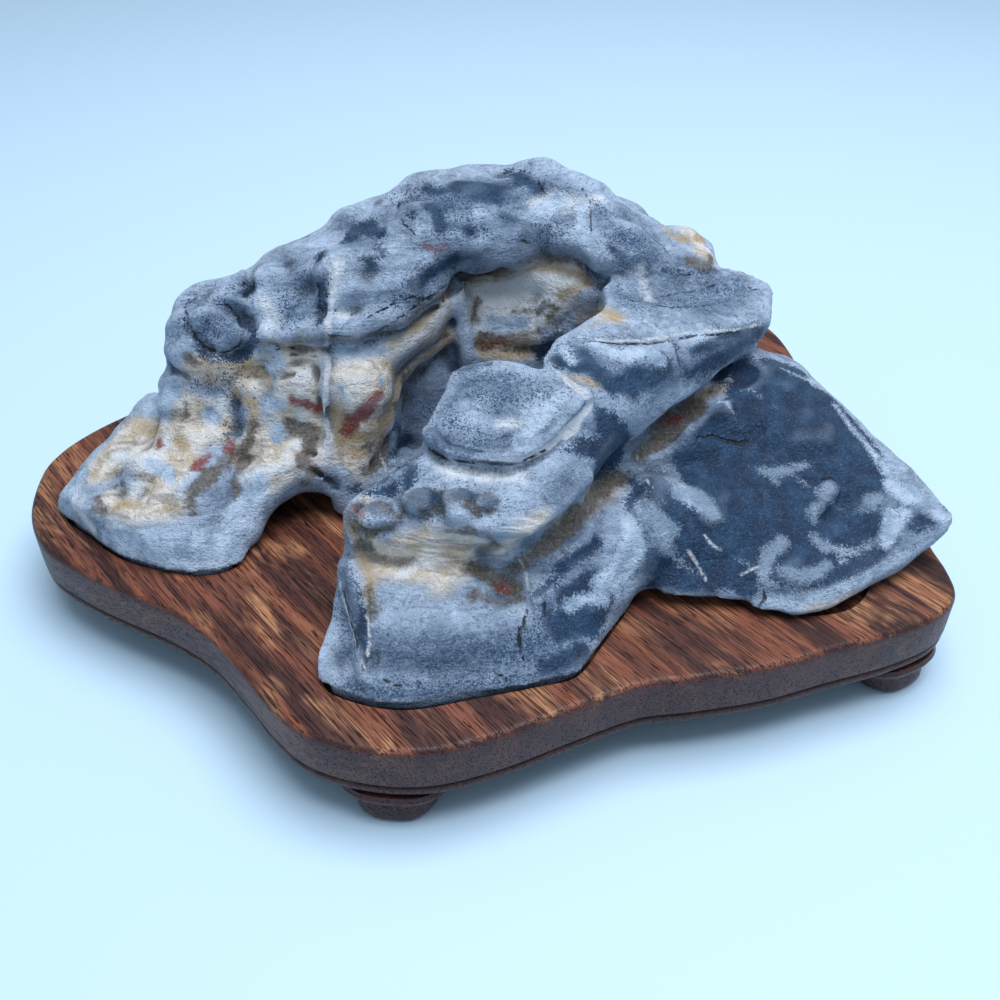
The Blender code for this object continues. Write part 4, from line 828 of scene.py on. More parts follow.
# Warm cream skin.
CREAM = {
    "left_foot": [(100, 470, 18), (135, 440, 30), (170, 460, 32), (150, 500, 22)],
    "left_foot_top": [(190, 430, 24), (215, 425, 18), (180, 400, 14)],
    "left_foot_front": [(110, 500, 14), (140, 510, 16), (175, 505, 14)],
    "column": [(200, 370, 14), (235, 370, 14), (255, 385, 12)],
    "wall": [(280, 352, 16), (310, 356, 14), (295, 385, 22), (300, 430, 28), (315, 455, 16)],
    "wall_low": [(265, 440, 20), (245, 460, 18), (290, 462, 16), (270, 480, 12)],
    "lobe": [(350, 375, 24), (375, 365, 20), (360, 410, 30), (385, 400, 16), (350, 440, 20)],
    "lobe_stem": [(345, 455, 14), (360, 470, 12), (378, 450, 12)],
    "under_knob": [(190, 372, 10), (215, 370, 12), (250, 368, 12)],
    "basin_wall": [(485, 285, 20), (520, 275, 18), (555, 275, 16), (582, 280, 10)],
    "basin_middle": [(480, 310, 14), (505, 312, 20), (540, 306, 18), (565, 292, 12)],
    "basin_floor": [(485, 345, 8), (510, 350, 12), (535, 345, 10)],
    "band": [(385, 352, 8), (405, 343, 10), (425, 328, 10), (445, 312, 10), (455, 295, 8)],
    "band_low": [(400, 385, 8), (415, 365, 8), (435, 348, 8), (452, 338, 6)],
    "back_lump": [(672, 225, 14), (690, 235, 16), (705, 255, 14)],
    "scoop": [(385, 560, 20), (420, 560, 24), (455, 560, 22), (440, 580, 14)],
    "scoop_top": [(400, 545, 12), (430, 535, 12), (465, 535, 10), (500, 550, 10)],
    "scoop_right": [(505, 545, 8), (525, 530, 10), (545, 520, 8)],
    "corner": [(358, 520, 10), (372, 540, 10), (365, 500, 8)],
    "valley": [(560, 520, 10), (590, 500, 10), (615, 485, 8)],
    "shelf_stain": [(585, 316, 8), (600, 314, 10), (615, 318, 8)],
    "under_shelf": [(700, 396, 6), (722, 390, 8), (735, 384, 6)],
    "wing_foot": [(810, 606, 8), (835, 603, 7), (852, 596, 5)],
}
# Golden ochre stain.
OCHRE = {
    "lobe_edge": [(338, 415, 10), (345, 435, 9), (365, 435, 9), (388, 418, 9)],
    "lobe_right": [(393, 402, 9), (397, 387, 8), (390, 370, 7)],
    "lobe_low": [(350, 450, 8), (366, 455, 8), (382, 440, 7)],
    "band_high": [(392, 345, 4), (412, 330, 4), (432, 314, 4), (448, 298, 4)],
    "band_edge": [(398, 368, 3), (415, 352, 4), (432, 340, 4), (447, 330, 4)],
    "band_low": [(400, 392, 6), (412, 372, 7), (430, 353, 7), (450, 340, 5)],
    "basin_band": [(478, 338, 5), (492, 342, 6), (512, 342, 6), (535, 338, 5)],
    "basin_low": [(482, 352, 5), (505, 355, 6), (528, 352, 5)],
    "basin_top": [(495, 278, 4), (525, 270, 5), (555, 268, 5), (580, 274, 4)],
    "basin_right": [(575, 290, 4), (560, 296, 3), (588, 284, 3)],
    "neck": [(205, 365, 5), (230, 366, 4), (250, 368, 5)],
    "neck_spot": [(199, 370, 6), (207, 375, 4)],
    "column_low": [(237, 395, 5), (255, 405, 5), (252, 425, 4)],
    "wall_edge": [(262, 372, 4), (268, 385, 4), (270, 372, 3)],
    "scoop_left": [(362, 560, 8), (370, 580, 7), (368, 600, 6)],
    "scoop_curl": [(420, 575, 3), (435, 582, 3), (445, 572, 3)],
    "corner_edge": [(345, 512, 4), (355, 535, 5), (360, 555, 5)],
    "rim_stain": [(571, 378, 3), (582, 380, 4), (597, 384, 4)],
    "shelf_stain": [(592, 316, 4), (608, 312, 5), (620, 318, 4), (590, 324, 3)],
    "under_shelf": [(695, 400, 4), (712, 395, 3), (732, 386, 3)],
    "foot_top": [(135, 432, 4), (150, 428, 5), (185, 445, 5)],
    "foot_front": [(120, 505, 4), (140, 506, 4), (165, 510, 4)],
    "back_lump": [(665, 228, 5), (680, 240, 6), (700, 238, 6)],
}
# Olive brown stain, and a painted shadow line under the ridge's and the basin's lips.
BROWN = {
    "foot_slope": [(236, 452, 6), (222, 465, 8), (206, 480, 9), (190, 495, 8), (194, 512, 5)],
    "foot_oval": [(233, 480, 4), (236, 490, 5), (234, 500, 3)],
    "foot_front_left": [(92, 510, 5), (104, 512, 6), (97, 498, 4)],
    "foot_front_high": [(105, 488, 3), (122, 484, 3)],
    "foot_crater": [(134, 478, 2.2), (142, 476, 2.6), (150, 478, 2)],
    "column_spot": [(186, 405, 3), (185, 417, 3)],
    "wall_low": [(290, 425, 8), (310, 432, 10), (312, 448, 8), (300, 460, 7)],
    "wall_corner": [(316, 470, 6), (306, 482, 4)],
    "column_low": [(250, 440, 5), (240, 452, 4), (256, 425, 4)],
    "lobe_low": [(370, 448, 7), (385, 440, 7), (378, 465, 7), (365, 470, 6)],
    "lobe_side": [(402, 410, 3), (405, 395, 3), (402, 380, 2.5), (412, 370, 2)],
    "band_crease": [(399, 372, 2), (414, 357, 2), (432, 345, 2), (447, 334, 2)],
    "band_foot": [(396, 405, 4), (402, 392, 4), (414, 378, 3), (430, 362, 3), (446, 350, 3)],
    # Painted shadow: the line of shade under the ridge's lip and the basin's lip.
    "under_lip": [
        (268, 344, 2), (300, 339, 3), (330, 338, 4), (352, 340, 4), (375, 335, 3), (398, 325, 3),
        (418, 312, 4), (440, 297, 4), (460, 283, 5), (478, 272, 5)],
    "basin_lip": [(490, 272, 3), (520, 261, 3), (550, 259, 3), (580, 262, 3)],
    "basin_left": [(478, 300, 4), (474, 312, 4), (480, 322, 2.5)],
    "basin_line": [(480, 347, 2.5), (505, 349, 3.5), (530, 349, 3.5), (545, 344, 3)],
    "basin_step": [(480, 334, 2), (500, 337, 3), (520, 336, 3), (538, 331, 3)],
    "basin_cluster_high": [(538, 311, 3.5), (545, 305, 4), (552, 306, 4), (558, 312, 4)],
    "basin_cluster_low": [(550, 317, 5), (549, 326, 3), (558, 326, 3)],
    "basin_cluster_line": [(512, 312, 1.5), (525, 311, 2), (538, 311, 2.5)],
    "corner": [(348, 513, 6), (358, 525, 8), (372, 530, 8), (388, 525, 7)],
    "corner_low": [(358, 545, 7), (370, 548, 6)],
    "scoop_left_grains": [(376, 600, 5), (372, 615, 6), (368, 590, 4)],
    "scoop_end": [(470, 568, 7), (485, 575, 10), (500, 585, 10), (515, 588, 8)],
    "scoop_end_low": [(475, 595, 6), (495, 602, 5), (520, 600, 6)],
    "scoop_ledge": [(445, 530, 4), (470, 532, 5), (488, 535, 5), (496, 548, 5)],
    "valley_left": [(515, 568, 7), (528, 558, 7), (545, 548, 8)],
    "valley_middle": [(545, 545, 9), (562, 528, 11), (580, 510, 12), (597, 492, 10)],
    "valley_top": [(600, 490, 10), (615, 482, 8), (628, 478, 7)],
    "nodule_left": [(411, 497, 8), (425, 493, 11), (439, 499, 9)],
    "nodule_left_low": [(425, 508, 10), (442, 508, 8)],
    "nodule_middle": [(453, 495, 8), (464, 492, 9), (476, 497, 7)],
    "nodule_right": [(484, 497, 8), (493, 500, 8), (489, 507, 7)],
    "nodule_low": [(468, 506, 7), (477, 510, 6)],
    "nodule_end": [(358, 508, 7), (372, 504, 10), (388, 512, 9)],
    "left_of_nodules": [(380, 510, 8), (398, 518, 6), (405, 505, 6)],
    "shelf_wall": [(652, 424, 8), (668, 420, 12), (676, 430, 14), (655, 446, 12)],
    "shelf_wall_low": [(690, 415, 14), (700, 405, 10), (640, 455, 8)],
    "shelf_wall_line": [(690, 396, 2), (710, 392, 2), (732, 384, 2)],
    "back_lump_low": [(690, 262, 6), (705, 268, 6), (712, 258, 5)],
    "knob_side": [(188, 355, 5), (196, 364, 4)],
}
# Iron red stain.
RUST = {
    "lobe": [(346, 430, 6), (354, 421, 9), (366, 410, 10), (379, 397, 5)],
    "lobe_high": [(366, 405, 6), (380, 393, 3)],
    "wall": [(292, 400, 3.5), (305, 404, 5.5), (318, 408, 3.5)],
    "foot_high": [(158, 440, 2.5), (160, 447, 3)],
    "foot_middle": [(193, 468, 4), (203, 461, 5), (209, 456, 3)],
    "column_low": [(228, 450, 2), (232, 442, 2)],
    "ridge_line": [(421, 243, 1), (432, 249, 1.6), (446, 249, 1)],
    "scoop": [(497, 586, 3), (505, 592, 3)],
    "basin": [(478, 342, 2), (490, 344, 2.4), (502, 341, 1.5)],
    "shelf_wall": [(668, 420, 3), (682, 418, 3)],
    "limb_dot": [(611, 580, 2.6)],
    "corner": [(352, 508, 2), (360, 516, 2.5)],
}
# Pale lilac patches, over the other stains, and painted highlights on the nodules in the recess.
PALE = {
    "wall_oval_high": [(270, 403, 6), (281, 405, 6)],
    "wall_oval_low": [(277, 430, 8), (278, 437, 7)],
    "column_dot": [(212, 416, 9)],
    "wall_top": [(272, 350, 6), (280, 362, 6), (270, 368, 5)],
    "lobe_top": [(340, 352, 8), (360, 352, 8), (380, 348, 6)],
    "lobe_streak": [(340, 385, 3), (345, 400, 3)],
    "lobe_dot": [(382, 381, 4)],
    "foot_bright": [(150, 462, 7), (165, 470, 8), (172, 482, 5)],
    "foot_toe": [(70, 485, 10), (68, 505, 8), (82, 475, 8)],
    "foot_base": [(110, 540, 12), (150, 550, 20), (190, 560, 24), (230, 545, 22)],
    "foot_side": [(235, 515, 12), (250, 500, 10), (262, 480, 8), (240, 530, 14)],
    "foot_back": [(150, 408, 10), (165, 400, 10), (175, 390, 8)],
    # The basin's pale wall, partly painted light on its shaded face.
    "basin_bright": [(488, 322, 6), (505, 325, 8), (522, 322, 7)],
    "divider": [(455, 300, 5), (459, 318, 6), (463, 335, 6), (466, 350, 6)],
    "divider_high": [(458, 285, 4), (456, 296, 4)],
    "tip": [(890, 485, 8), (905, 495, 10), (925, 500, 8), (945, 520, 5)],
    "tip_low": [(893, 515, 8), (886, 535, 7), (885, 545, 5), (905, 512, 6)],
    "bevel": [
        (712, 602, 3), (740, 607, 4), (770, 602, 5), (800, 600, 6), (830, 595, 6), (862, 580, 6),
        (895, 562, 5), (930, 543, 5), (948, 532, 3)],
    "crest": [(835, 405, 2), (852, 428, 3), (872, 452, 4), (886, 472, 5)],
    "limb_wing": [(600, 585, 10), (622, 570, 14), (632, 545, 14), (628, 522, 8)],
    "limb_wing_low": [(605, 600, 6), (588, 598, 5), (570, 605, 7)],
    "under_shelf": [(712, 402, 5), (722, 396, 4)],
    "shelf_front": [(595, 345, 8), (612, 352, 8)],
    "shelf_front_right": [(625, 355, 8), (645, 350, 9), (660, 360, 7)],
    "shelf_front_edge": [(688, 340, 6), (712, 332, 5)],
    "shelf_front_low": [(563, 348, 5), (572, 362, 4)],
    # Painted highlights on the dark nodules in the recess.
    "recess_painted_highlight": [(392, 462, 2.5), (405, 462, 3), (390, 470, 2)],
    "recess_painted_highlight_low": [(340, 470, 5), (352, 480, 4)],
    "limb_oval": [(452, 606, 4), (455, 614, 3)],
    "plateau_low": [(530, 415, 10), (550, 410, 9), (520, 440, 7), (560, 395, 5)],
    "crown_light": [(478, 215, 6), (510, 232, 8), (545, 210, 9), (560, 200, 8)],
    "crown_right": [(582, 205, 6), (580, 230, 5), (590, 250, 5)],
    "ridge_slope": [(335, 255, 4), (329, 245, 3)],
}
# Dusty islands left in the dark stain.
ISLANDS = {
    "island_left": [(676, 494, 7), (690, 492, 9), (704, 503, 11), (712, 513, 8)],
    "island_front": [(652, 512, 6), (662, 523, 9), (674, 531, 7)],
    "island_high": [(662, 467, 4), (668, 466, 3)],
    "island_streak": [(760, 470, 4), (774, 473, 6), (790, 470, 4), (806, 465, 2.5)],
    "island_dot": [(776, 481, 3)],
    "kidney": [(828, 487, 7), (826, 495, 6)],
    "kidney_low": [(812, 511, 6), (814, 518, 5)],
    "island_low": [(781, 543, 7), (770, 552, 8), (765, 568, 6)],
    "island_low_right": [(783, 570, 5), (800, 577, 7), (818, 573, 6), (828, 565, 5)],
    "island_fade": [(815, 538, 5), (825, 548, 5)],
    "island_right": [(869, 501, 5), (878, 498, 5)],
}
# Broad darker washes of the lilac skin: painted shade and dirt low on the front, painted shade in
# recesses and valleys, under overhangs and on front faces, and a darker tone of the skin on the
# ridge, the plateau and the shelf's top.
SHADED = {
    "apron_low": [(345, 688, 8), (400, 698, 12), (460, 692, 12), (520, 682, 10), (560, 670, 10)],
    "apron_right": [(500, 640, 14), (508, 665, 14), (540, 655, 16), (560, 620, 14)],
    "left_facet": [(340, 570, 8), (344, 600, 9), (350, 630, 9), (356, 655, 8)],
    "shelf_front": [(575, 352, 14), (615, 378, 18), (655, 380, 16), (700, 362, 12), (745, 340, 10)],
    "shelf_top": [(600, 290, 8), (640, 285, 10), (690, 290, 12), (735, 290, 10)],
    "cheek": [(600, 420, 14), (615, 445, 16), (600, 470, 12)],
    "crown": [(405, 205, 14), (440, 205, 18), (480, 190, 20), (515, 185, 14), (500, 215, 12)],
    "crown_left": [(340, 225, 12), (370, 235, 16), (385, 215, 10)],
    "ridge_left": [(285, 258, 8), (300, 275, 8), (320, 290, 10), (290, 312, 8)],
    "ridge_front": [(400, 296, 8), (430, 280, 10), (465, 258, 10)],
    "ridge_right": [(600, 225, 10), (625, 240, 14), (650, 250, 12), (640, 225, 8)],
    "knob": [(190, 305, 8), (205, 330, 14), (230, 335, 14), (235, 300, 10)],
    "under_knob": [(200, 380, 10), (225, 385, 12), (240, 410, 10), (228, 435, 8)],
    "wall_low": [(280, 458, 8), (300, 464, 8), (325, 472, 8)],
    "lobe_low": [(365, 462, 8), (385, 450, 6)],
    "recess": [(395, 430, 10), (400, 460, 14), (390, 480, 12)],
    "valley": [(540, 560, 12), (570, 535, 14), (600, 500, 12), (575, 585, 12)],
    "terrace_right": [(560, 500, 10), (585, 480, 12), (600, 490, 10)],
    "plateau": [(445, 405, 12), (475, 380, 13), (510, 385, 13), (500, 410, 13)],
    "plateau_low": [(440, 430, 10), (465, 440, 10), (500, 440, 14), (535, 425, 12)],
    "apron": [(350, 650, 16), (385, 655, 22), (430, 655, 26), (480, 655, 26), (530, 650, 22)],
    "apron_foot": [(345, 690, 12), (400, 696, 16), (460, 694, 16), (520, 684, 14), (565, 672, 12)],
    "limb": [(560, 620, 18), (585, 600, 14), (600, 575, 10)],
    "shelf_left": [(600, 300, 14), (640, 300, 14), (680, 300, 12)],
    "shelf_middle": [(620, 275, 12), (660, 275, 12), (700, 285, 14), (740, 280, 12)],
    "ridge_top": [(400, 215, 12), (450, 200, 14), (500, 200, 16), (560, 190, 12), (600, 215, 10)],
    "wing_tip": [(870, 500, 12), (900, 515, 14), (880, 545, 10), (925, 520, 10), (850, 580, 10)],
    "wing_bevel": [(720, 595, 10), (770, 595, 10), (820, 590, 10)],
    "limb_wing": [(600, 590, 12), (625, 560, 14), (635, 530, 12)],
    "shelf_right": [(640, 262, 10), (690, 262, 12), (735, 262, 12), (745, 290, 12), (700, 310, 14)],
    "saddle": [(640, 520, 12), (650, 550, 12), (620, 580, 10), (660, 500, 12)],
    "tip": [(880, 495, 10), (910, 510, 12), (935, 525, 8)],
    "back_shoulder": [(625, 215, 12), (650, 235, 12)],
    "wing_left": [(640, 460, 10), (650, 500, 10), (690, 440, 12)],
    "foot_side": [(240, 470, 10), (225, 495, 10), (250, 450, 10)],
    "back_of_foot": [(160, 405, 8), (175, 385, 8)],
}
# Bright whitish skin. In the basin it is laid on wide, partly as painted light on the wall that
# lies in shade.
WHITE = {
    # The basin's whitish wall, partly painted light.
    "basin_wall": [(488, 298, 14), (515, 288, 18), (540, 281, 17), (569, 277, 12)],
    "basin_middle": [(488, 316, 13), (510, 318, 16), (534, 312, 13), (564, 294, 11)],
    "basin_rim": [(480, 328, 7), (505, 331, 8), (532, 326, 7)],
    "divider": [(456, 298, 5), (460, 318, 6), (464, 338, 6)],
    "lobe_top": [(345, 358, 7), (368, 352, 8), (390, 352, 5)],
    "lobe_front": [(345, 392, 4), (352, 400, 4)],
    "wall": [(280, 398, 6), (272, 408, 5), (305, 372, 5), (300, 444, 7)],
    "column": [(211, 416, 7), (225, 398, 4)],
    "foot_top": [(120, 455, 8), (150, 465, 9), (165, 440, 6), (135, 492, 6)],
    "foot_base": [(115, 535, 9), (150, 548, 15), (185, 556, 17), (215, 548, 14), (238, 528, 8)],
    "foot_side": [(242, 518, 9), (254, 500, 8), (264, 485, 6)],
    "foot_toe": [(72, 492, 9), (80, 512, 8), (92, 528, 6)],
    "wall_foot": [(245, 478, 6), (262, 470, 6), (285, 470, 5)],
    "band": [(395, 350, 4), (415, 338, 4), (436, 320, 4), (450, 302, 4)],
    "ridge_top": [(535, 205, 7), (560, 200, 8), (585, 205, 6), (600, 198, 4)],
    "ridge_left": [(338, 262, 5), (333, 285, 5), (330, 305, 4), (345, 315, 4)],
    "ridge_left_low": [(262, 300, 5), (275, 315, 5), (268, 328, 5)],
    "terrace": [(440, 470, 5), (480, 478, 5), (520, 478, 4)],
    "scoop": [(400, 575, 4), (425, 562, 4)],
    "shelf": [(640, 268, 3), (650, 300, 3)],
    "plateau": [(500, 425, 3), (540, 420, 3)],
}
# Thin pale veins.
VEINS = {
    "wall": [
        (327, 315, 4.3), (329, 330, 3.5), (326, 345, 3), (328, 365, 3.2), (326, 390, 3.2),
        (325, 410, 3.2), (326, 425, 3.2), (330, 440, 3)],
    "plateau_rim": [
        (557, 372, 1.6), (566, 380, 2.7), (577, 388, 3.2), (587, 396, 4.1), (590, 404, 4.1),
        (584, 413, 4.1), (574, 421, 4.1), (564, 430, 4.1), (555, 440, 4.6), (545, 449, 4.1),
        (532, 456, 3.2), (518, 461, 2.4), (505, 462, 1.9), (485, 460, 1.4)],
    "rim_spray": [(580, 416, 3.2), (576, 428, 4.1), (564, 438, 3.2)],
    "shelf_line": [
        (560, 330, 1.6), (578, 337, 1.6), (600, 340, 1.6), (620, 341, 1.4), (640, 341, 1.4),
        (662, 337, 1.6), (685, 333, 1.4), (710, 331, 1.4), (735, 330, 1.4), (757, 325, 1.4)],
    "shelf_fork": [(640, 318, 1.4), (652, 325, 1.4), (662, 336, 1.4)],
    "wing_left": [(636, 455, 1.1), (640, 470, 1.1), (652, 487, 1.1), (665, 503, 1.1)],
    "wing_slope": [(688, 550, 2), (698, 565, 1.6), (706, 580, 1.4)],
    "wing_slope_high": [(704, 535, 1.4), (712, 545, 1.9), (722, 551, 1.1)],
    "wing_foot": [(741, 575, 1.1), (750, 570, 1.1), (760, 566, 0.8)],
    "limb_foot": [(520, 560, 1.4), (526, 575, 1.6), (528, 590, 1.4)],
    "left_facet_edge": [
        (333, 548, 1.4), (340, 580, 1.6), (347, 610, 1.6), (356, 640, 1.6), (363, 668, 2)],
    "left_facet_right": [(368, 655, 1.6), (370, 640, 1.4), (367, 615, 1.4)],
    "recess": [(382, 440, 1.4), (380, 455, 1.4), (386, 470, 1.6), (392, 475, 1.4)],
}
# Thin dark cracks, and a painted shadow line under the ridge's lip.
CRACKS = {
    "limb_left": [(520, 629, 1.6), (519, 640, 2.1), (521, 652, 1.8), (523, 660, 1.3)],
    "limb_right": [(527, 611, 1.3), (524, 622, 1.9), (526, 632, 1.6)],
    "limb_far": [(541, 594, 1.3), (544, 607, 1.9), (543, 618, 1.3)],
    "left_facet": [(344, 590, 1.4), (349, 615, 1.6), (357, 645, 1.6), (363, 672, 1.6)],
    "under_plateau": [
        (428, 447, 1.6), (440, 456, 2.1), (460, 461, 1.9), (485, 463, 2.1), (508, 464, 2.2),
        (528, 459, 1.9), (545, 450, 1.6)],
    "foot_toe": [(384, 680, 1.4), (392, 684, 1.6), (400, 686, 1.3)],
    "foot_toe_right": [(500, 675, 1.6), (506, 680, 1.9), (508, 688, 1.6)],
    "wing_ledge": [
        (697, 438, 1.6), (712, 436, 1.6), (725, 441, 2.2), (740, 444, 2.2), (748, 440, 1.6)],
    "kidney_rim": [(822, 480, 1.6), (832, 479, 2.2), (839, 487, 2.6), (839, 497, 2.2)],
    "wing_foot": [(764, 590, 1.3), (765, 600, 1.6), (758, 607, 1.6)],
    "knob_left": [(183, 318, 1.4), (188, 325, 1.6)],
    "strata_high": [(275, 349, 1.1), (292, 348, 1.4), (315, 350, 1.1)],
    "strata_low": [(272, 357, 1.1), (295, 355, 1.3), (318, 357, 1.1)],
    "shelf_chip": [(747, 286, 1.3), (752, 290, 1.4), (757, 289, 1.1)],
    "ridge_chip": [(522, 241, 1.4), (530, 243, 1.6)],
    "knob_disc": [
        (188, 318, 1.4), (184, 305, 1.2), (196, 299, 1.2), (212, 303, 1.2), (228, 305, 1.4),
        (238, 318, 1.6), (243, 334, 1.8), (240, 345, 1.6), (226, 352, 1.8), (208, 350, 1.8),
        (196, 338, 1.6), (188, 318, 1.4)],
    "knob_cap": [(232, 300, 1.2), (245, 297, 1.6), (252, 288, 1.6), (243, 283, 1.2)],
    # Painted shadow: the dark line of shade under the ridge's lip.
    "ridge_lip": [
        (330, 336, 1.4), (350, 338, 1.4), (376, 332, 1.5), (400, 318, 1.5), (420, 303, 1.5),
        (444, 288, 1.5), (462, 272, 1.6), (485, 266, 1.4)],
    "ridge_seam": [(322, 262, 1.2), (318, 285, 1.5), (322, 310, 1.3), (326, 330, 1.2)],
    "ridge_fold": [(430, 300, 1), (412, 297, 1.2), (392, 305, 1.2), (368, 318, 1.1)],
    "crown_fold": [(408, 190, 1.1), (398, 205, 1.3), (402, 222, 1.2), (415, 235, 1)],
    "crown_line": [(520, 170, 1), (538, 182, 1.2), (545, 194, 1)],
    "ridge_right_fold": [(582, 188, 1), (592, 205, 1.2), (590, 228, 1.2), (598, 246, 1)],
    "ridge_right_step": [(612, 210, 1), (630, 222, 1.2), (650, 236, 1.2), (668, 252, 1)],
    "shelf_edge_line": [
        (560, 333, 1.3), (585, 341, 1.3), (618, 344, 1.4), (650, 344, 1.3), (690, 337, 1.4),
        (725, 334, 1.4), (756, 329, 1.3)],
    "shelf_strata": [(660, 297, 1.1), (690, 292, 1.1), (715, 285, 1)],
    "shelf_strata_low": [(630, 300, 1.1), (670, 308, 1.1), (710, 305, 1)],
}
# Each layer's strokes, by the name of the attribute that holds it on the mesh: the stains, and the
# shaded strokes of partly painted shade.
STAINS = {"shaded": SHADED, "dark": DARK, "speckled": SPECKLED, "cream": CREAM, "ochre": OCHRE,
          "white": WHITE, "brown": BROWN, "rust": RUST, "island": ISLANDS, "pale": PALE,
          "vein": VEINS, "crack": CRACKS}
# Past this distance from a stroke, its stain is not followed.
STAIN_REACH = 8.0
# How many times the skin is evened out for its small and its broad hollows.
CAVITY_PASSES = {10: "proud", 60: "proud_wide"}


def picture_ray(across, down):
    """The direction in which the camera sees a point of its picture."""
    right = (across - PICTURE_SIZE / 2.0) / FOCAL_LENGTH
    up = (PICTURE_SIZE / 2.0 - down) / FOCAL_LENGTH
    sine, cosine = math.sin(math.radians(CAMERA_TILT)), math.cos(math.radians(CAMERA_TILT))
    return Vector((right, cosine + up * sine, -sine + up * cosine))


def lay_strokes(marks, tree):
    """Each mark's stroke as points on the stone, in millimetres, with its half widths."""
    eye = Vector(CAMERA_PLACE)
    strokes = []
    for stroke in marks.values():
        laid = []
        for across, down, half_width in stroke:
            ray = picture_ray(across, down)
            place = tree.ray_cast(eye, ray.normalized())[0]
            if place is not None:
                distance = (place - eye).length / ray.length
                laid.append((*place, half_width * distance / FOCAL_LENGTH))
        if laid:
            strokes.append(np.array(laid))
    return strokes


def stroke_distance(points, stroke):
    """Distance from points to a stroke's edge, below zero within it."""
    nearest = np.linalg.norm(points - stroke[0, :3], axis=1) - stroke[0, 3]
    for start, end in zip(stroke[:-1], stroke[1:]):
        run = end[:3] - start[:3]
        share = np.clip((points - start[:3]) @ run / max(float(run @ run), TINY), 0.0, 1.0)
        gap = np.linalg.norm(points - start[:3] - share[:, None] * run, axis=1)
        nearest = np.minimum(nearest, gap - start[3] - (end[3] - start[3]) * share)
    return nearest


def store_level(mesh, name, level):
    """Store one value at each corner of the mesh, for a material to read."""
    mesh.attributes.new(name, "FLOAT", "POINT").data.foreach_set("value", level)


def stain(mesh, name, strokes, points):
    """Store at each corner of the mesh its distance to the edge of the nearest stroke."""
    level = np.full(len(points), STAIN_REACH, dtype=np.float32)
    for stroke in strokes:
        margin = stroke[:, 3].max() + STAIN_REACH
        low, high = stroke[:, :3].min(axis=0) - margin, stroke[:, :3].max(axis=0) + margin
        near = np.flatnonzero(np.all((points > low) & (points < high), axis=1))
        if len(near):
            level[near] = np.minimum(level[near], stroke_distance(points[near], stroke))
    store_level(mesh, name, level)


def vertex_places(mesh):
    """The corners of a mesh, in millimetres."""
    places = np.empty(len(mesh.vertices) * 3, dtype=np.float32)
    mesh.vertices.foreach_get("co", places)
    return places.reshape(-1, 3) / MM


def neighbour_mean(places, edges, count):
    """The mean place of each corner's neighbours."""
    mean = np.empty_like(places)
    for axis in range(3):
        total = np.bincount(edges[:, 0], places[edges[:, 1], axis], len(places))
        total += np.bincount(edges[:, 1], places[edges[:, 0], axis], len(places))
        mean[:, axis] = total / count
    return mean


def mark_cavities(mesh, places):
    """Store how far each corner stands proud of the skin around it, near and wide."""
    edges = np.empty(len(mesh.edges) * 2, dtype=np.int32)
    mesh.edges.foreach_get("vertices", edges)
    edges = edges.reshape(-1, 2)
    count = np.maximum(np.bincount(edges.ravel(), minlength=len(places)), 1)
    normals = np.empty(len(places) * 3, dtype=np.float32)
    mesh.vertices.foreach_get("normal", normals)
    normals = normals.reshape(-1, 3)
    smoothed = places.astype(np.float64)
    for step in range(1, max(CAVITY_PASSES) + 1):
        smoothed = neighbour_mean(smoothed, edges, count)
        if step in CAVITY_PASSES:
            level = ((places - smoothed) * normals).sum(axis=1)
            store_level(mesh, CAVITY_PASSES[step], level.astype(np.float32))


# ---------------------------------------------------------------- materials
# The colour sockets of a mixing node.
MIX_FIRST = 6
MIX_SECOND = 7
MIX_RESULT = 2
SPECULAR = 0.3

# Patterns of the stone's skin: the size of their grains in millimetres, their detail, their
# roughness and how far they are twisted.
STONE_PATTERNS = {
    "patchy": (16.0, 6.0, 0.62, 0.6),
    "cloudy": (5.0, 5.0, 0.6, 0.0),
    "grain": (0.9, 3.0, 0.6, 0.0),
    "dust": (0.45, 2.0, 0.5, 0.0),
    "streaky": (2.6, 5.0, 0.68, 1.2),
    "flakes": (7.0, 6.0, 0.68, 1.6),
    "rear_broad": (26.0, 5.0, 0.6, 0.8),
    "rear_mottled": (11.0, 5.0, 0.65, 1.2),
}
# Patterns drawn out along the axes: their waves per millimetre along each, detail, roughness
# and twist. The wood's first axis is its grain.
LAYERED = ((0.07, 0.25, 0.55), 5.0, 0.62, 0.8)
WOOD_PATTERNS = {
    "bands": ((0.012, 0.16, 0.10), 4.0, 0.6, 0.5),
    "streaks": ((0.02, 0.85, 0.7), 3.0, 0.6, 0.2),
    "shine": ((0.03, 0.10, 0.10), 3.0, 0.6, 0.8),
    "pores": ((0.16, 3.0, 3.0), 1.5, 0.5, 0.0),
    "lines": ((0.03, 1.6, 1.6), 2.0, 0.6, 0.0),
}
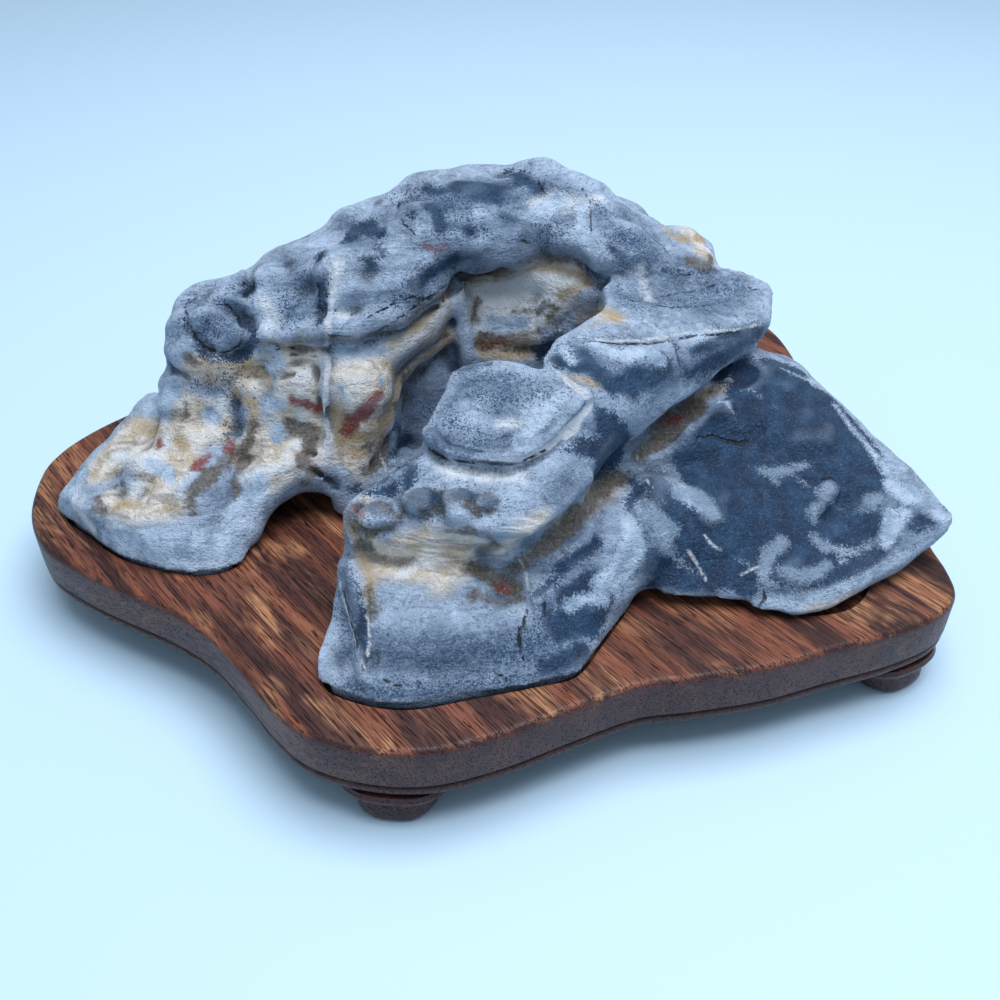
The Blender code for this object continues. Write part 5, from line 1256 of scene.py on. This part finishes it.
# The part that each pattern plays: the value where it starts to show and where it is full,
# and, where they aren't 0 and 1, its share at both.
SHOWS = {
    "pale_clouds": (0.36, 0.62),
    "pale_flakes": (0.54, 0.575, 0.0, 0.45),
    "deep_layers": (0.50, 0.66, 0.0, 0.45),
    # Painted shade: the less a face looks upward, the darker it is painted.
    "painted_side_shade": (0.75, 0.0, 0.0, 0.35),
    "shade_streaks": (0.35, 0.6, 0.55, 0.95),
    "strewn_streaks": (0.40, 0.66),
    "strewn_grains": (0.40, 0.50, 0.0, 0.4),
    "hairline": (0.006, 0.001),
    "hairline_patches": (0.4, 0.6),
    # Painted shade in small creases and in broad hollows of the skin.
    "painted_crevice_shade": (-0.1, -0.6, 0.0, 0.65),
    "painted_hollow_shade": (-0.3, -3.0, 0.0, 0.3),
    "rear": (0.15, 0.5),
    "rear_cream": (0.53, 0.60, 0.0, 0.8),
    "rear_layers": (0.45, 0.62),
    "rear_dark": (0.56, 0.585, 0.0, 0.9),
    "cream_clouds": (0.35, 0.65),
    "cream_layers": (0.50, 0.62, 0.0, 0.5),
    # Painted shade in the cream's creases.
    "cream_painted_crevice_shade": (-0.05, -0.6, 0.0, 0.8),
    "brown_grains": (0.35, 0.65),
    "specks": (0.67, 0.71, 0.0, 0.85),
    "dark_clouds": (0.35, 0.7),
    "pale_patches": (0.3, 0.6),
    # Painted highlight on edges that stand proud of the skin.
    "painted_edge_highlight": (0.08, 0.6, 0.0, 0.25),
    "dark_dust": (0.60, 0.72, 0.0, 0.35),
    "powder": (0.44, 0.32),
    "powder_on_satin": (0.0, 1.0, 0.3, 0.1),
    "satin_roughness": (0.0, 1.0, 0.82, 0.5),
    "wood_bands": (0.42, 0.60),
    "wood_shine": (0.48, 0.66),
    "wood_shine_streaks": (0.35, 0.65),
    "wood_dark_streaks": (0.5, 0.30, 0.0, 0.55),
    # Partly painted shade on the wood's upright faces.
    "wood_side_shade": (0.75, 0.45),
    "wood_pores": (0.57, 0.66, 0.0, 0.9),
    "wood_lines": (0.54, 0.68, 0.0, 0.6),
    "wood_pore_depth": (0.58, 0.68),
    "wood_line_depth": (0.6, 0.7),
}
# How each stain, and the partly painted shade of the shaded strokes, lies on the stone: the wobble
# that frays its edge, how much of that wobble, how many millimetres the edge fades over to each
# side, and its greatest share.
STAIN_EDGES = {
    "shaded": ("wavy", 1.0, 4.0, 1.0),
    "cream": ("wavy", 1.0, 2.5, 1.0),
    "white": ("ragged", 1.0, 2.0, 0.88),
    "ochre": ("ragged", 1.0, 1.6, 0.85),
    "brown": ("ragged", 1.0, 1.0, 0.9),
    "speckled": ("wavy", 1.0, 6.0, 1.0),
    "dark": ("stippled", 1.0, 0.6, 1.0),
    "rust": ("ragged", 1.0, 1.0, 0.9),
    "island": ("stippled", 0.6, 1.0, 0.9),
    "pale": ("stippled", 0.5, 0.9, 1.0),
    "vein": ("ragged", 0.1, 0.3, 1.0),
    "crack": ("ragged", 0.08, 0.2, 1.0),
}
# The wobbles are sums of patterns, in millimetres, and so is the stone's fine relief.
WOBBLES = {
    "wavy": {"cloudy": 3.0},
    "ragged": {"cloudy": 5.0, "grain": 3.0},
    "stippled": {"cloudy": 4.0, "grain": 4.5, "dust": 4.5},
}
STONE_RELIEF = {"cloudy": 1.0, "grain": 0.55, "streaky": 0.9, "layered": 0.5, "dust": 0.22,
                "crack": -0.8}
STONE_DEPTH = 0.9
HAIRLINE_LEVEL = 0.47
HAIRLINE_SHARE = 0.7
REAR_FRAY = 0.02
SPECK_WEIGHTS = (0.5, 0.5, 0.22)


class Shading:
    """Short calls that build a material's nodes. Lengths in them are in millimetres."""

    def __init__(self, name):
        self.material = bpy.data.materials.new(name)
        self.material.use_nodes = True
        self.tree = self.material.node_tree
        self.shader = self.tree.nodes["Principled BSDF"]
        self.shader.inputs["Specular IOR Level"].default_value = SPECULAR
        coordinates = self.tree.nodes.new("ShaderNodeTexCoord")
        self.place = self.scaled(coordinates.outputs["Object"], (1.0 / MM, 1.0 / MM, 1.0 / MM))

    def feed(self, socket, value):
        """Link a socket to another one, or give it a value or a colour."""
        if isinstance(value, bpy.types.NodeSocket):
            self.tree.links.new(value, socket)
        elif isinstance(value, tuple) and len(value) == 3 and socket.type == "RGBA":
            socket.default_value = (*value, 1.0)
        else:
            socket.default_value = value

    def scaled(self, vector, factors):
        """A vector times a factor along each axis."""
        node = self.tree.nodes.new("ShaderNodeVectorMath")
        node.operation = "MULTIPLY"
        self.feed(node.inputs[0], vector)
        self.feed(node.inputs[1], factors)
        return node.outputs["Vector"]

    def turned(self, vector, degrees):
        """A vector turned about the vertical."""
        node = self.tree.nodes.new("ShaderNodeVectorRotate")
        node.rotation_type = "Z_AXIS"
        self.feed(node.inputs["Vector"], vector)
        self.feed(node.inputs["Angle"], math.radians(degrees))
        return node.outputs["Vector"]

    def math(self, operation, first, second=0.0):
        """The result of a sum on one or two values."""
        node = self.tree.nodes.new("ShaderNodeMath")
        node.operation = operation
        self.feed(node.inputs[0], first)
        self.feed(node.inputs[1], second)
        return node.outputs["Value"]

    def noise(self, size, detail, rough, twist, vector=None):
        """Smooth noise from 0 to 1 with grains of a size."""
        node = self.tree.nodes.new("ShaderNodeTexNoise")
        self.feed(node.inputs["Vector"], self.place if vector is None else vector)
        self.feed(node.inputs["Scale"], 1.0 / size)
        self.feed(node.inputs["Detail"], detail)
        self.feed(node.inputs["Roughness"], rough)
        self.feed(node.inputs["Distortion"], twist)
        return node.outputs["Fac"]

    def drawn_out(self, vector, waves, detail, rough, twist):
        """Noise with other grains along each axis, by its waves per millimetre."""
        return self.noise(1.0, detail, rough, twist, self.scaled(vector, waves))

    def ramp(self, value, start, end, low=0.0, high=1.0):
        """A smooth step from low at start to high at end."""
        node = self.tree.nodes.new("ShaderNodeMapRange")
        node.interpolation_type = "SMOOTHSTEP"
        self.feed(node.inputs["Value"], value)
        self.feed(node.inputs["From Min"], start)
        self.feed(node.inputs["From Max"], end)
        self.feed(node.inputs["To Min"], low)
        self.feed(node.inputs["To Max"], high)
        return node.outputs["Result"]

    def shows(self, part, value):
        """How much of a pattern shows at a value, by the part that it plays."""
        return self.ramp(value, *SHOWS[part])

    def mix(self, share, first, second):
        """A colour between two, by the share of the second."""
        node = self.tree.nodes.new("ShaderNodeMix")
        node.data_type = "RGBA"
        self.feed(node.inputs["Factor"], share)
        self.feed(node.inputs[MIX_FIRST], first)
        self.feed(node.inputs[MIX_SECOND], second)
        return node.outputs[MIX_RESULT]

    def coat(self, color, *coats):
        """A colour under coats of others, each with its share."""
        for share, over in coats:
            color = self.mix(share, color, over)
        return color

    def stored(self, name):
        """The values that are stored at the mesh's corners under a name."""
        node = self.tree.nodes.new("ShaderNodeAttribute")
        node.attribute_name = name
        return node.outputs["Fac"]

    def wobble(self, weights, patterns):
        """The sum of patterns, each about its middle and times its weight."""
        total = 0.0
        for name, weight in weights.items():
            share = self.math("MULTIPLY", self.math("SUBTRACT", patterns[name], 0.5), weight)
            total = self.math("ADD", share, total)
        return total

    def within(self, layer, wobble, soft, most):
        """How far a place lies inside a layer's strokes, with an edge that fades."""
        level = self.math("ADD", self.stored(layer), wobble)
        return self.ramp(level, soft, -soft, 0.0, most)

    def facing(self, axis):
        """How far the surface faces along an axis, from -1 to 1."""
        geometry = self.tree.nodes.new("ShaderNodeNewGeometry")
        split = self.tree.nodes.new("ShaderNodeSeparateXYZ")
        self.tree.links.new(geometry.outputs["Normal"], split.inputs["Vector"])
        return split.outputs[axis]

    def bump(self, height, depth):
        """Fine relief from heights of 0 to 1, by the depth that 1 stands for."""
        node = self.tree.nodes.new("ShaderNodeBump")
        self.feed(node.inputs["Height"], height)
        node.inputs["Distance"].default_value = depth * MM
        self.tree.links.new(node.outputs["Normal"], self.shader.inputs["Normal"])


# Colours of the stone.
LILAC_PALE = (0.44, 0.54, 0.71)
LILAC_MID = (0.26, 0.33, 0.44)
LILAC_DEEP = (0.066, 0.113, 0.196)
SKIN_GRAIN = (0.055, 0.065, 0.10)
BLUE_BLACK = (0.012, 0.032, 0.076)
BLUE_DARK = (0.026, 0.073, 0.155)
CHALK_WHITE = (0.80, 0.84, 0.90)
CREAM_PALE = (0.84, 0.78, 0.74)
CREAM_WARM = (0.58, 0.48, 0.36)
OCHRE_GOLD = (0.36, 0.22, 0.085)
OCHRE_PALE = (0.58, 0.45, 0.28)
OLIVE_BROWN = (0.07, 0.056, 0.042)
BROWN_MID = (0.17, 0.135, 0.10)
RUST_RED = (0.36, 0.05, 0.025)
RUST_DEEP = (0.13, 0.02, 0.015)
PALE_PATCH = (0.53, 0.64, 0.81)
PALE_DUSTY = (0.25, 0.34, 0.47)
VEIN_WHITE = (0.66, 0.68, 0.74)
# The dark of the cracks, also laid as painted shade in creases and along the ridge's lip.
CRACK_AND_SHADE_DARK = (0.018, 0.02, 0.028)


def stone_patterns(paint):
    """Every pattern of the stone's skin, by its name."""
    patterns = {name: paint.noise(*row) for name, row in STONE_PATTERNS.items()}
    patterns["layered"] = paint.drawn_out(paint.place, *LAYERED)
    patterns["proud"] = paint.stored("proud")
    patterns["proud_wide"] = paint.stored("proud_wide")
    return patterns


def stain_covers(paint, wobbles):
    """How far each stain, and the partly painted shade, covers the skin."""
    covers = {}
    for name, (kind, amount, soft, most) in STAIN_EDGES.items():
        wobble = wobbles[kind] if amount == 1.0 else paint.math("MULTIPLY", wobbles[kind], amount)
        covers[name] = paint.within(name, wobble, soft, most)
    return covers


def bare_skin(paint, patterns, shaded):
    """The chalky lilac skin: pale and darker clouds with fine layers, grains and hairlines, and
    painted shade on steep faces, in creases and hollows and, in part, where the shaded strokes lie.
    """
    flakes, grain, streaky = patterns["flakes"], patterns["grain"], patterns["streaky"]
    clouds = paint.shows("pale_clouds", patterns["patchy"])
    shade = paint.math("MULTIPLY", shaded, paint.shows("shade_streaks", streaky))
    strewn = paint.math("MULTIPLY", grain, paint.shows("strewn_streaks", streaky))
    contour = paint.math("ABSOLUTE", paint.math("SUBTRACT", flakes, HAIRLINE_LEVEL))
    hairline = paint.math("MULTIPLY", paint.shows("hairline", contour),
                          paint.shows("hairline_patches", patterns["patchy"]))
    return paint.coat(
        paint.mix(clouds, LILAC_MID, LILAC_PALE),
        (paint.shows("pale_flakes", flakes), PALE_PATCH),
        (paint.shows("deep_layers", patterns["layered"]), LILAC_DEEP),
        # Painted shade on steep faces.
        (paint.shows("painted_side_shade", paint.facing("Z")), LILAC_DEEP),
        (shade, LILAC_DEEP),
        (paint.shows("strewn_grains", strewn), SKIN_GRAIN),
        (paint.math("MULTIPLY", hairline, HAIRLINE_SHARE), SKIN_GRAIN),
        # Painted shade in small creases and broad hollows.
        (paint.shows("painted_crevice_shade", patterns["proud"]), CRACK_AND_SHADE_DARK),
        (paint.shows("painted_hollow_shade", patterns["proud_wide"]), LILAC_DEEP))


def rear_stains(paint, color, patterns, stippled):
    """Broad dark and cream stains over the stone's back."""
    rear = paint.shows("rear", paint.facing("Y"))
    fray = paint.math("MULTIPLY", stippled, REAR_FRAY)
    creamy = paint.math("ADD", patterns["rear_broad"], fray)
    mottled = paint.math("ADD", patterns["rear_mottled"], fray)
    cream = paint.mix(paint.shows("rear_layers", patterns["layered"]), CREAM_WARM, OLIVE_BROWN)
    return paint.coat(
        color,
        (paint.math("MULTIPLY", rear, paint.shows("rear_cream", creamy)), cream),
        (paint.math("MULTIPLY", rear, paint.shows("rear_dark", mottled)), BLUE_DARK))


def cream_skin(paint, patterns):
    """Cream with paler clouds, brown layers and painted shade in its creases."""
    clouds = paint.shows("cream_clouds", patterns["cloudy"])
    return paint.coat(
        paint.mix(clouds, CREAM_WARM, CREAM_PALE),
        (paint.shows("cream_layers", patterns["layered"]), BROWN_MID),
        # Painted shade in the creases.
        (paint.shows("cream_painted_crevice_shade", patterns["proud"]), OLIVE_BROWN))


def speck_share(paint, patterns, speckled):
    """Dark specks, which lie closer together where the skin is speckled."""
    grain_weight, dust_weight, speckled_weight = SPECK_WEIGHTS
    grains = paint.math("ADD", paint.math("MULTIPLY", patterns["grain"], grain_weight),
                        paint.math("MULTIPLY", patterns["dust"], dust_weight))
    specks = paint.math("ADD", grains, paint.math("MULTIPLY", speckled, speckled_weight))
    return paint.shows("specks", specks)


def stone_material():
    """Chalky lilac skin with dark, cream, ochre, brown and rust stains and pale veins, with painted
    shade in its hollows and a painted highlight on its proud edges.
    """
    paint = Shading("stone_skin")
    patterns = stone_patterns(paint)
    cloudy, grain, dust = patterns["cloudy"], patterns["grain"], patterns["dust"]
    wobbles = {name: paint.wobble(weights, patterns) for name, weights in WOBBLES.items()}
    covers = stain_covers(paint, wobbles)
    satin = paint.math("MULTIPLY", covers["dark"], paint.math("SUBTRACT", 1.0, covers["pale"]))
    powder = paint.math("MULTIPLY", paint.shows("powder_on_satin", satin),
                        paint.shows("powder", dust))
    skin = bare_skin(paint, patterns, covers["shaded"])
    brown_grains = paint.shows("brown_grains", grain)
    dark_clouds = paint.shows("dark_clouds", cloudy)
    pale_patches = paint.shows("pale_patches", cloudy)
    color = paint.coat(
        rear_stains(paint, skin, patterns, wobbles["stippled"]),
        (covers["cream"], cream_skin(paint, patterns)),
        (covers["white"], CHALK_WHITE),
        (covers["ochre"], paint.mix(cloudy, OCHRE_GOLD, OCHRE_PALE)),
        (covers["brown"], paint.mix(brown_grains, OLIVE_BROWN, BROWN_MID)),
        (speck_share(paint, patterns, covers["speckled"]), BLUE_DARK),
        (covers["dark"], paint.mix(dark_clouds, BLUE_BLACK, BLUE_DARK)),
        (covers["rust"], paint.mix(grain, RUST_DEEP, RUST_RED)),
        (covers["island"], paint.mix(cloudy, LILAC_MID, PALE_DUSTY)),
        (covers["pale"], paint.mix(pale_patches, PALE_DUSTY, PALE_PATCH)),
        (covers["vein"], VEIN_WHITE),
        (covers["crack"], CRACK_AND_SHADE_DARK),
        # Painted highlight on proud edges.
        (paint.shows("painted_edge_highlight", patterns["proud"]), LILAC_PALE),
        (paint.shows("dark_dust", dust), SKIN_GRAIN),
        (powder, PALE_PATCH))
    paint.feed(paint.shader.inputs["Base Color"], color)
    paint.feed(paint.shader.inputs["Roughness"], paint.shows("satin_roughness", satin))
    relief = paint.wobble(STONE_RELIEF, {**patterns, "crack": covers["crack"]})
    paint.bump(relief, STONE_DEPTH)
    return paint.material


# Woods: the colours of their light bands, dark bands and golden shine.
BOARD_WOOD = ((0.235, 0.076, 0.042), (0.055, 0.019, 0.017), (0.46, 0.21, 0.105))
TRIM_WOOD = ((0.075, 0.024, 0.016), (0.035, 0.014, 0.012), (0.13, 0.045, 0.022))
WOOD_PORE = (0.018, 0.008, 0.008)
# A darker tone on the stand's upright faces: partly the wood's own edge colour, partly painted
# shade.
WOOD_SIDE_SHADE = (0.085, 0.045, 0.05)
SIDE_SHARE = 0.75
# The roughness of each wood where it shines most, and how much rougher it is elsewhere.
BOARD_GLOSS = 0.38
TRIM_GLOSS = 0.26
GLOSS_SPREAD = 0.12
GLOSS_STREAKS = (0.3, 0.7)
# How high the streaks stand and how deep the lines are, as shares of the pores' depth.
STREAK_HEIGHT = 0.3
LINE_HEIGHT = 0.6
WOOD_DEPTH = 0.25
GRAIN_TURN = 129.5


def wood_material(name, colors, gloss):
    """Red-brown wood: bands and streaks along the grain, gold sheen, short dark pores, and a darker
    tone on its upright faces that is partly painted shade.
    """
    light, dark, gold = colors
    paint = Shading(name)
    along = paint.turned(paint.place, -GRAIN_TURN)
    patterns = {pattern: paint.drawn_out(along, *row) for pattern, row in WOOD_PATTERNS.items()}
    streaks, pores, lines = patterns["streaks"], patterns["pores"], patterns["lines"]
    shine = paint.math("MULTIPLY", paint.shows("wood_shine", patterns["shine"]),
                       paint.shows("wood_shine_streaks", streaks))
    # Partly painted shade on upright faces.
    side = paint.shows("wood_side_shade", paint.math("ABSOLUTE", paint.facing("Z")))
    color = paint.coat(
        paint.mix(paint.shows("wood_bands", patterns["bands"]), dark, light),
        (shine, gold),
        (paint.shows("wood_dark_streaks", streaks), dark),
        (paint.math("MULTIPLY", side, SIDE_SHARE), WOOD_SIDE_SHADE),
        (paint.shows("wood_pores", pores), WOOD_PORE),
        (paint.shows("wood_lines", lines), WOOD_PORE))
    paint.feed(paint.shader.inputs["Base Color"], color)
    paint.feed(paint.shader.inputs["Roughness"],
               paint.ramp(streaks, *GLOSS_STREAKS, gloss, gloss + GLOSS_SPREAD))
    height = paint.math("SUBTRACT", paint.math("MULTIPLY", streaks, STREAK_HEIGHT),
                        paint.shows("wood_pore_depth", pores))
    sunk_lines = paint.math("MULTIPLY", paint.shows("wood_line_depth", lines), LINE_HEIGHT)
    paint.bump(paint.math("SUBTRACT", height, sunk_lines), WOOD_DEPTH)
    return paint.material


def plain_material(name, color, roughness):
    """A material of one colour."""
    material = bpy.data.materials.new(name)
    material.use_nodes = True
    shader = material.node_tree.nodes["Principled BSDF"]
    shader.inputs["Base Color"].default_value = (*color, 1.0)
    shader.inputs["Roughness"].default_value = roughness
    return material


# ---------------------------------------------------------------- pieces
# Edges sharper than this many degrees stay sharp in the stand's smooth shading.
SHARP_EDGE = 35.0


def shade_smooth(mesh):
    """Shade every face of a mesh smoothly."""
    mesh.polygons.foreach_set("use_smooth", [True] * len(mesh.polygons))


def stand_for(item, node):
    """Hang a piece under the frame's root and hide the node of the solids that it stands for."""
    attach(item, "root")
    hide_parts(node)


def finish_wood(item, node):
    """Smooth shading with the sharp edges kept, and the piece's place in the frame."""
    shade_smooth(item.data)
    item.data.set_sharp_from_angle(angle=math.radians(SHARP_EDGE))
    stand_for(item, node)


def dress_rock():
    """The rock's skin with its stains, its partly painted shade and its cavities stored for the
    material.
    """
    stone = rock_field()
    points, faces = surface_net(stone.values, stone.low, stone.step)
    points[:, 2] += BOARD_TOP
    rock = make_object("rock_skin", points, faces, stone_material())
    keep_largest_body(rock.data)
    shade_smooth(rock.data)
    places = vertex_places(rock.data)
    mark_cavities(rock.data, places)
    polygons = [list(face.vertices) for face in rock.data.polygons]
    tree = BVHTree.FromPolygons(places.tolist(), polygons)
    for name, marks in STAINS.items():
        stain(rock.data, name, lay_strokes(marks, tree), places)
    stand_for(rock, "rock")


def cut_seats(board, wood):
    """Cut the seats of the rock's feet into the board."""
    cutters = []
    for name, corners in SEATS.items():
        seat = smooth_outline(corners, OUTLINE_STEPS)
        seat = seat + outward(seat) * SEAT_CLEARANCE
        rings = [ring_at(seat, BOARD_TOP - SEAT_DEPTH), ring_at(seat, BOARD_TOP + CUTTER_RISE)]
        cutter = loft("seat_" + name, rings, wood)
        cut = board.modifiers.new("seat_" + name, "BOOLEAN")
        cut.operation = "DIFFERENCE"
        cut.object = cutter
        cutters.append(cutter)
    depsgraph = bpy.context.evaluated_depsgraph_get()
    board.data = bpy.data.meshes.new_from_object(board.evaluated_get(depsgraph))
    board.modifiers.clear()
    for cutter in cutters:
        bpy.data.objects.remove(cutter, do_unlink=True)


def dress_board(outline, wood):
    """The lobed board with its eased lower edge, rounded top edge and seats."""
    normals = outward(outline)
    low = BOARD_TOP - BOARD_THICKNESS
    rings = [ring_at(outline - normals * inset, low + rise) for inset, rise in BOARD_FOOT_RINGS]
    for step in range(BOARD_EDGE_STEPS + 1):
        angle = math.radians(90.0 * step / BOARD_EDGE_STEPS)
        inset = BOARD_EDGE_RADIUS * (1.0 - math.cos(angle))
        height = BOARD_TOP - BOARD_EDGE_RADIUS * (1.0 - math.sin(angle))
        rings.append(ring_at(outline - normals * inset, height))
    flat = outline - normals * (BOARD_EDGE_RADIUS + BOARD_FLAT_INSET)
    rings.append(ring_at(flat, BOARD_TOP))
    board = loft("board", rings, wood)
    cut_seats(board, wood)
    finish_wood(board, "stand_board")


def dress_moulding(outline, wood):
    """The half-round bead under the board."""
    normals = outward(outline)
    low = BOARD_TOP - BOARD_THICKNESS - TOUCHING_GAP - MOULDING_HEIGHT
    radius = MOULDING_HEIGHT / 2.0
    rings = []
    for step in range(MOULDING_EDGE_STEPS + 1):
        angle = math.radians(-90.0 + 180.0 * step / MOULDING_EDGE_STEPS)
        inset = MOULDING_INSET + radius * (1.0 - math.cos(angle))
        rings.append(ring_at(outline - normals * inset, low + radius * (1.0 + math.sin(angle))))
    finish_wood(loft("moulding", rings, wood), "stand_moulding")


def dress_foot(name, outline, wood):
    """A bracket foot whose outer face follows the board's edge, with a rolled shoulder."""
    place = np.array(FOOT_PLACES[name])
    middle = int(np.argmin(np.linalg.norm(outline - place, axis=1)))
    rolled = np.roll(outline, len(outline) // 2 - middle, axis=0)
    middle = len(outline) // 2
    lengths = np.concatenate([[0.0], np.cumsum(np.linalg.norm(np.diff(rolled, axis=0), axis=1))])
    lengths -= lengths[middle]
    normals = outward(rolled)
    inward = -normals[middle]
    rings = []
    for height, inset, half in FOOT_LEVELS:
        marks = np.linspace(-half, half, FOOT_POINTS)
        outer = np.stack([np.interp(marks, lengths, rolled[:, i] - normals[:, i] * inset)
                          for i in range(2)], axis=1)
        outer += inward * (FOOT_ROUNDING * (np.abs(marks) / half) ** FOOT_ROUNDING_POWER)[:, None]
        ends = np.array([outer[-1] + inward * FOOT_DEPTH, outer[0] + inward * FOOT_DEPTH])
        rings.append(ring_at(np.concatenate([outer, ends]), height))
    finish_wood(loft("foot_" + name, rings, wood), "stand_foot_" + name)


def dress_stand():
    """The board, the bead under it and the feet."""
    wood = wood_material("board_wood", BOARD_WOOD, BOARD_GLOSS)
    dark_wood = wood_material("trim_wood", TRIM_WOOD, TRIM_GLOSS)
    outline = smooth_outline(BOARD_OUTLINE, OUTLINE_STEPS)
    dress_board(outline, wood)
    dress_moulding(outline, dark_wood)
    for name in FOOT_PLACES:
        dress_foot(name, outline, dark_wood)


# ---------------------------------------------------------------- floor, light and camera
# Places and sizes here are in metres.
FLOOR_COLOR = (0.585, 0.775, 0.96)
FLOOR_ROUGHNESS = 0.6
FLOOR_SIZE = 6.0
SKY_COLOR = (0.70, 0.87, 1.0)
SKY_STRENGTH = 0.42
# The lamp is a square panel above the stone that faces the origin.
LAMP_PLACE = (0.16, 0.0, 1.05)
LAMP_SIZE = 0.8
LAMP_POWER = 12.6
LAMP_COLOR = (0.92, 0.96, 1.0)
SENSOR_WIDTH = 36.0
CLIP_START = 0.01


def build_floor():
    """A large square of blue paper under the stand."""
    half = FLOOR_SIZE / 2.0
    corners = [(-half, -half, 0), (half, -half, 0), (half, half, 0), (-half, half, 0)]
    mesh = bpy.data.meshes.new("floor")
    mesh.from_pydata(corners, [], [(0, 1, 2, 3)])
    mesh.materials.append(plain_material("floor_paper", FLOOR_COLOR, FLOOR_ROUGHNESS))
    floor = put_in_scene("floor", mesh)


def build_light():
    """A pale sky and one large lamp overhead."""
    world = bpy.data.worlds.new("studio")
    world.use_nodes = True
    background = world.node_tree.nodes["Background"]
    background.inputs["Color"].default_value = (*SKY_COLOR, 1.0)
    background.inputs["Strength"].default_value = SKY_STRENGTH
    bpy.context.scene.world = world
    lamp = bpy.data.lights.new("top_lamp", "AREA")
    lamp.size = LAMP_SIZE
    lamp.energy = LAMP_POWER
    lamp.color = LAMP_COLOR
    item = put_in_scene("top_lamp", lamp)
    item.location = LAMP_PLACE
    item.rotation_euler = (-Vector(LAMP_PLACE)).to_track_quat("-Z", "Y").to_euler()


def build_camera():
    """A camera where the photo was taken, tilted down at the stone."""
    data = bpy.data.cameras.new("camera")
    data.sensor_width = SENSOR_WIDTH
    data.lens = FOCAL_LENGTH / PICTURE_SIZE * SENSOR_WIDTH
    data.clip_start = CLIP_START
    camera = put_in_scene("camera", data)
    camera.location = Vector(CAMERA_PLACE) * MM
    camera.rotation_euler = (math.radians(90.0 - CAMERA_TILT), 0.0, 0.0)
    bpy.context.scene.camera = camera


bpy.context.scene.view_settings.view_transform = "Standard"
build_camera()
build_light()
build_floor()
dress_stand()
dress_rock()
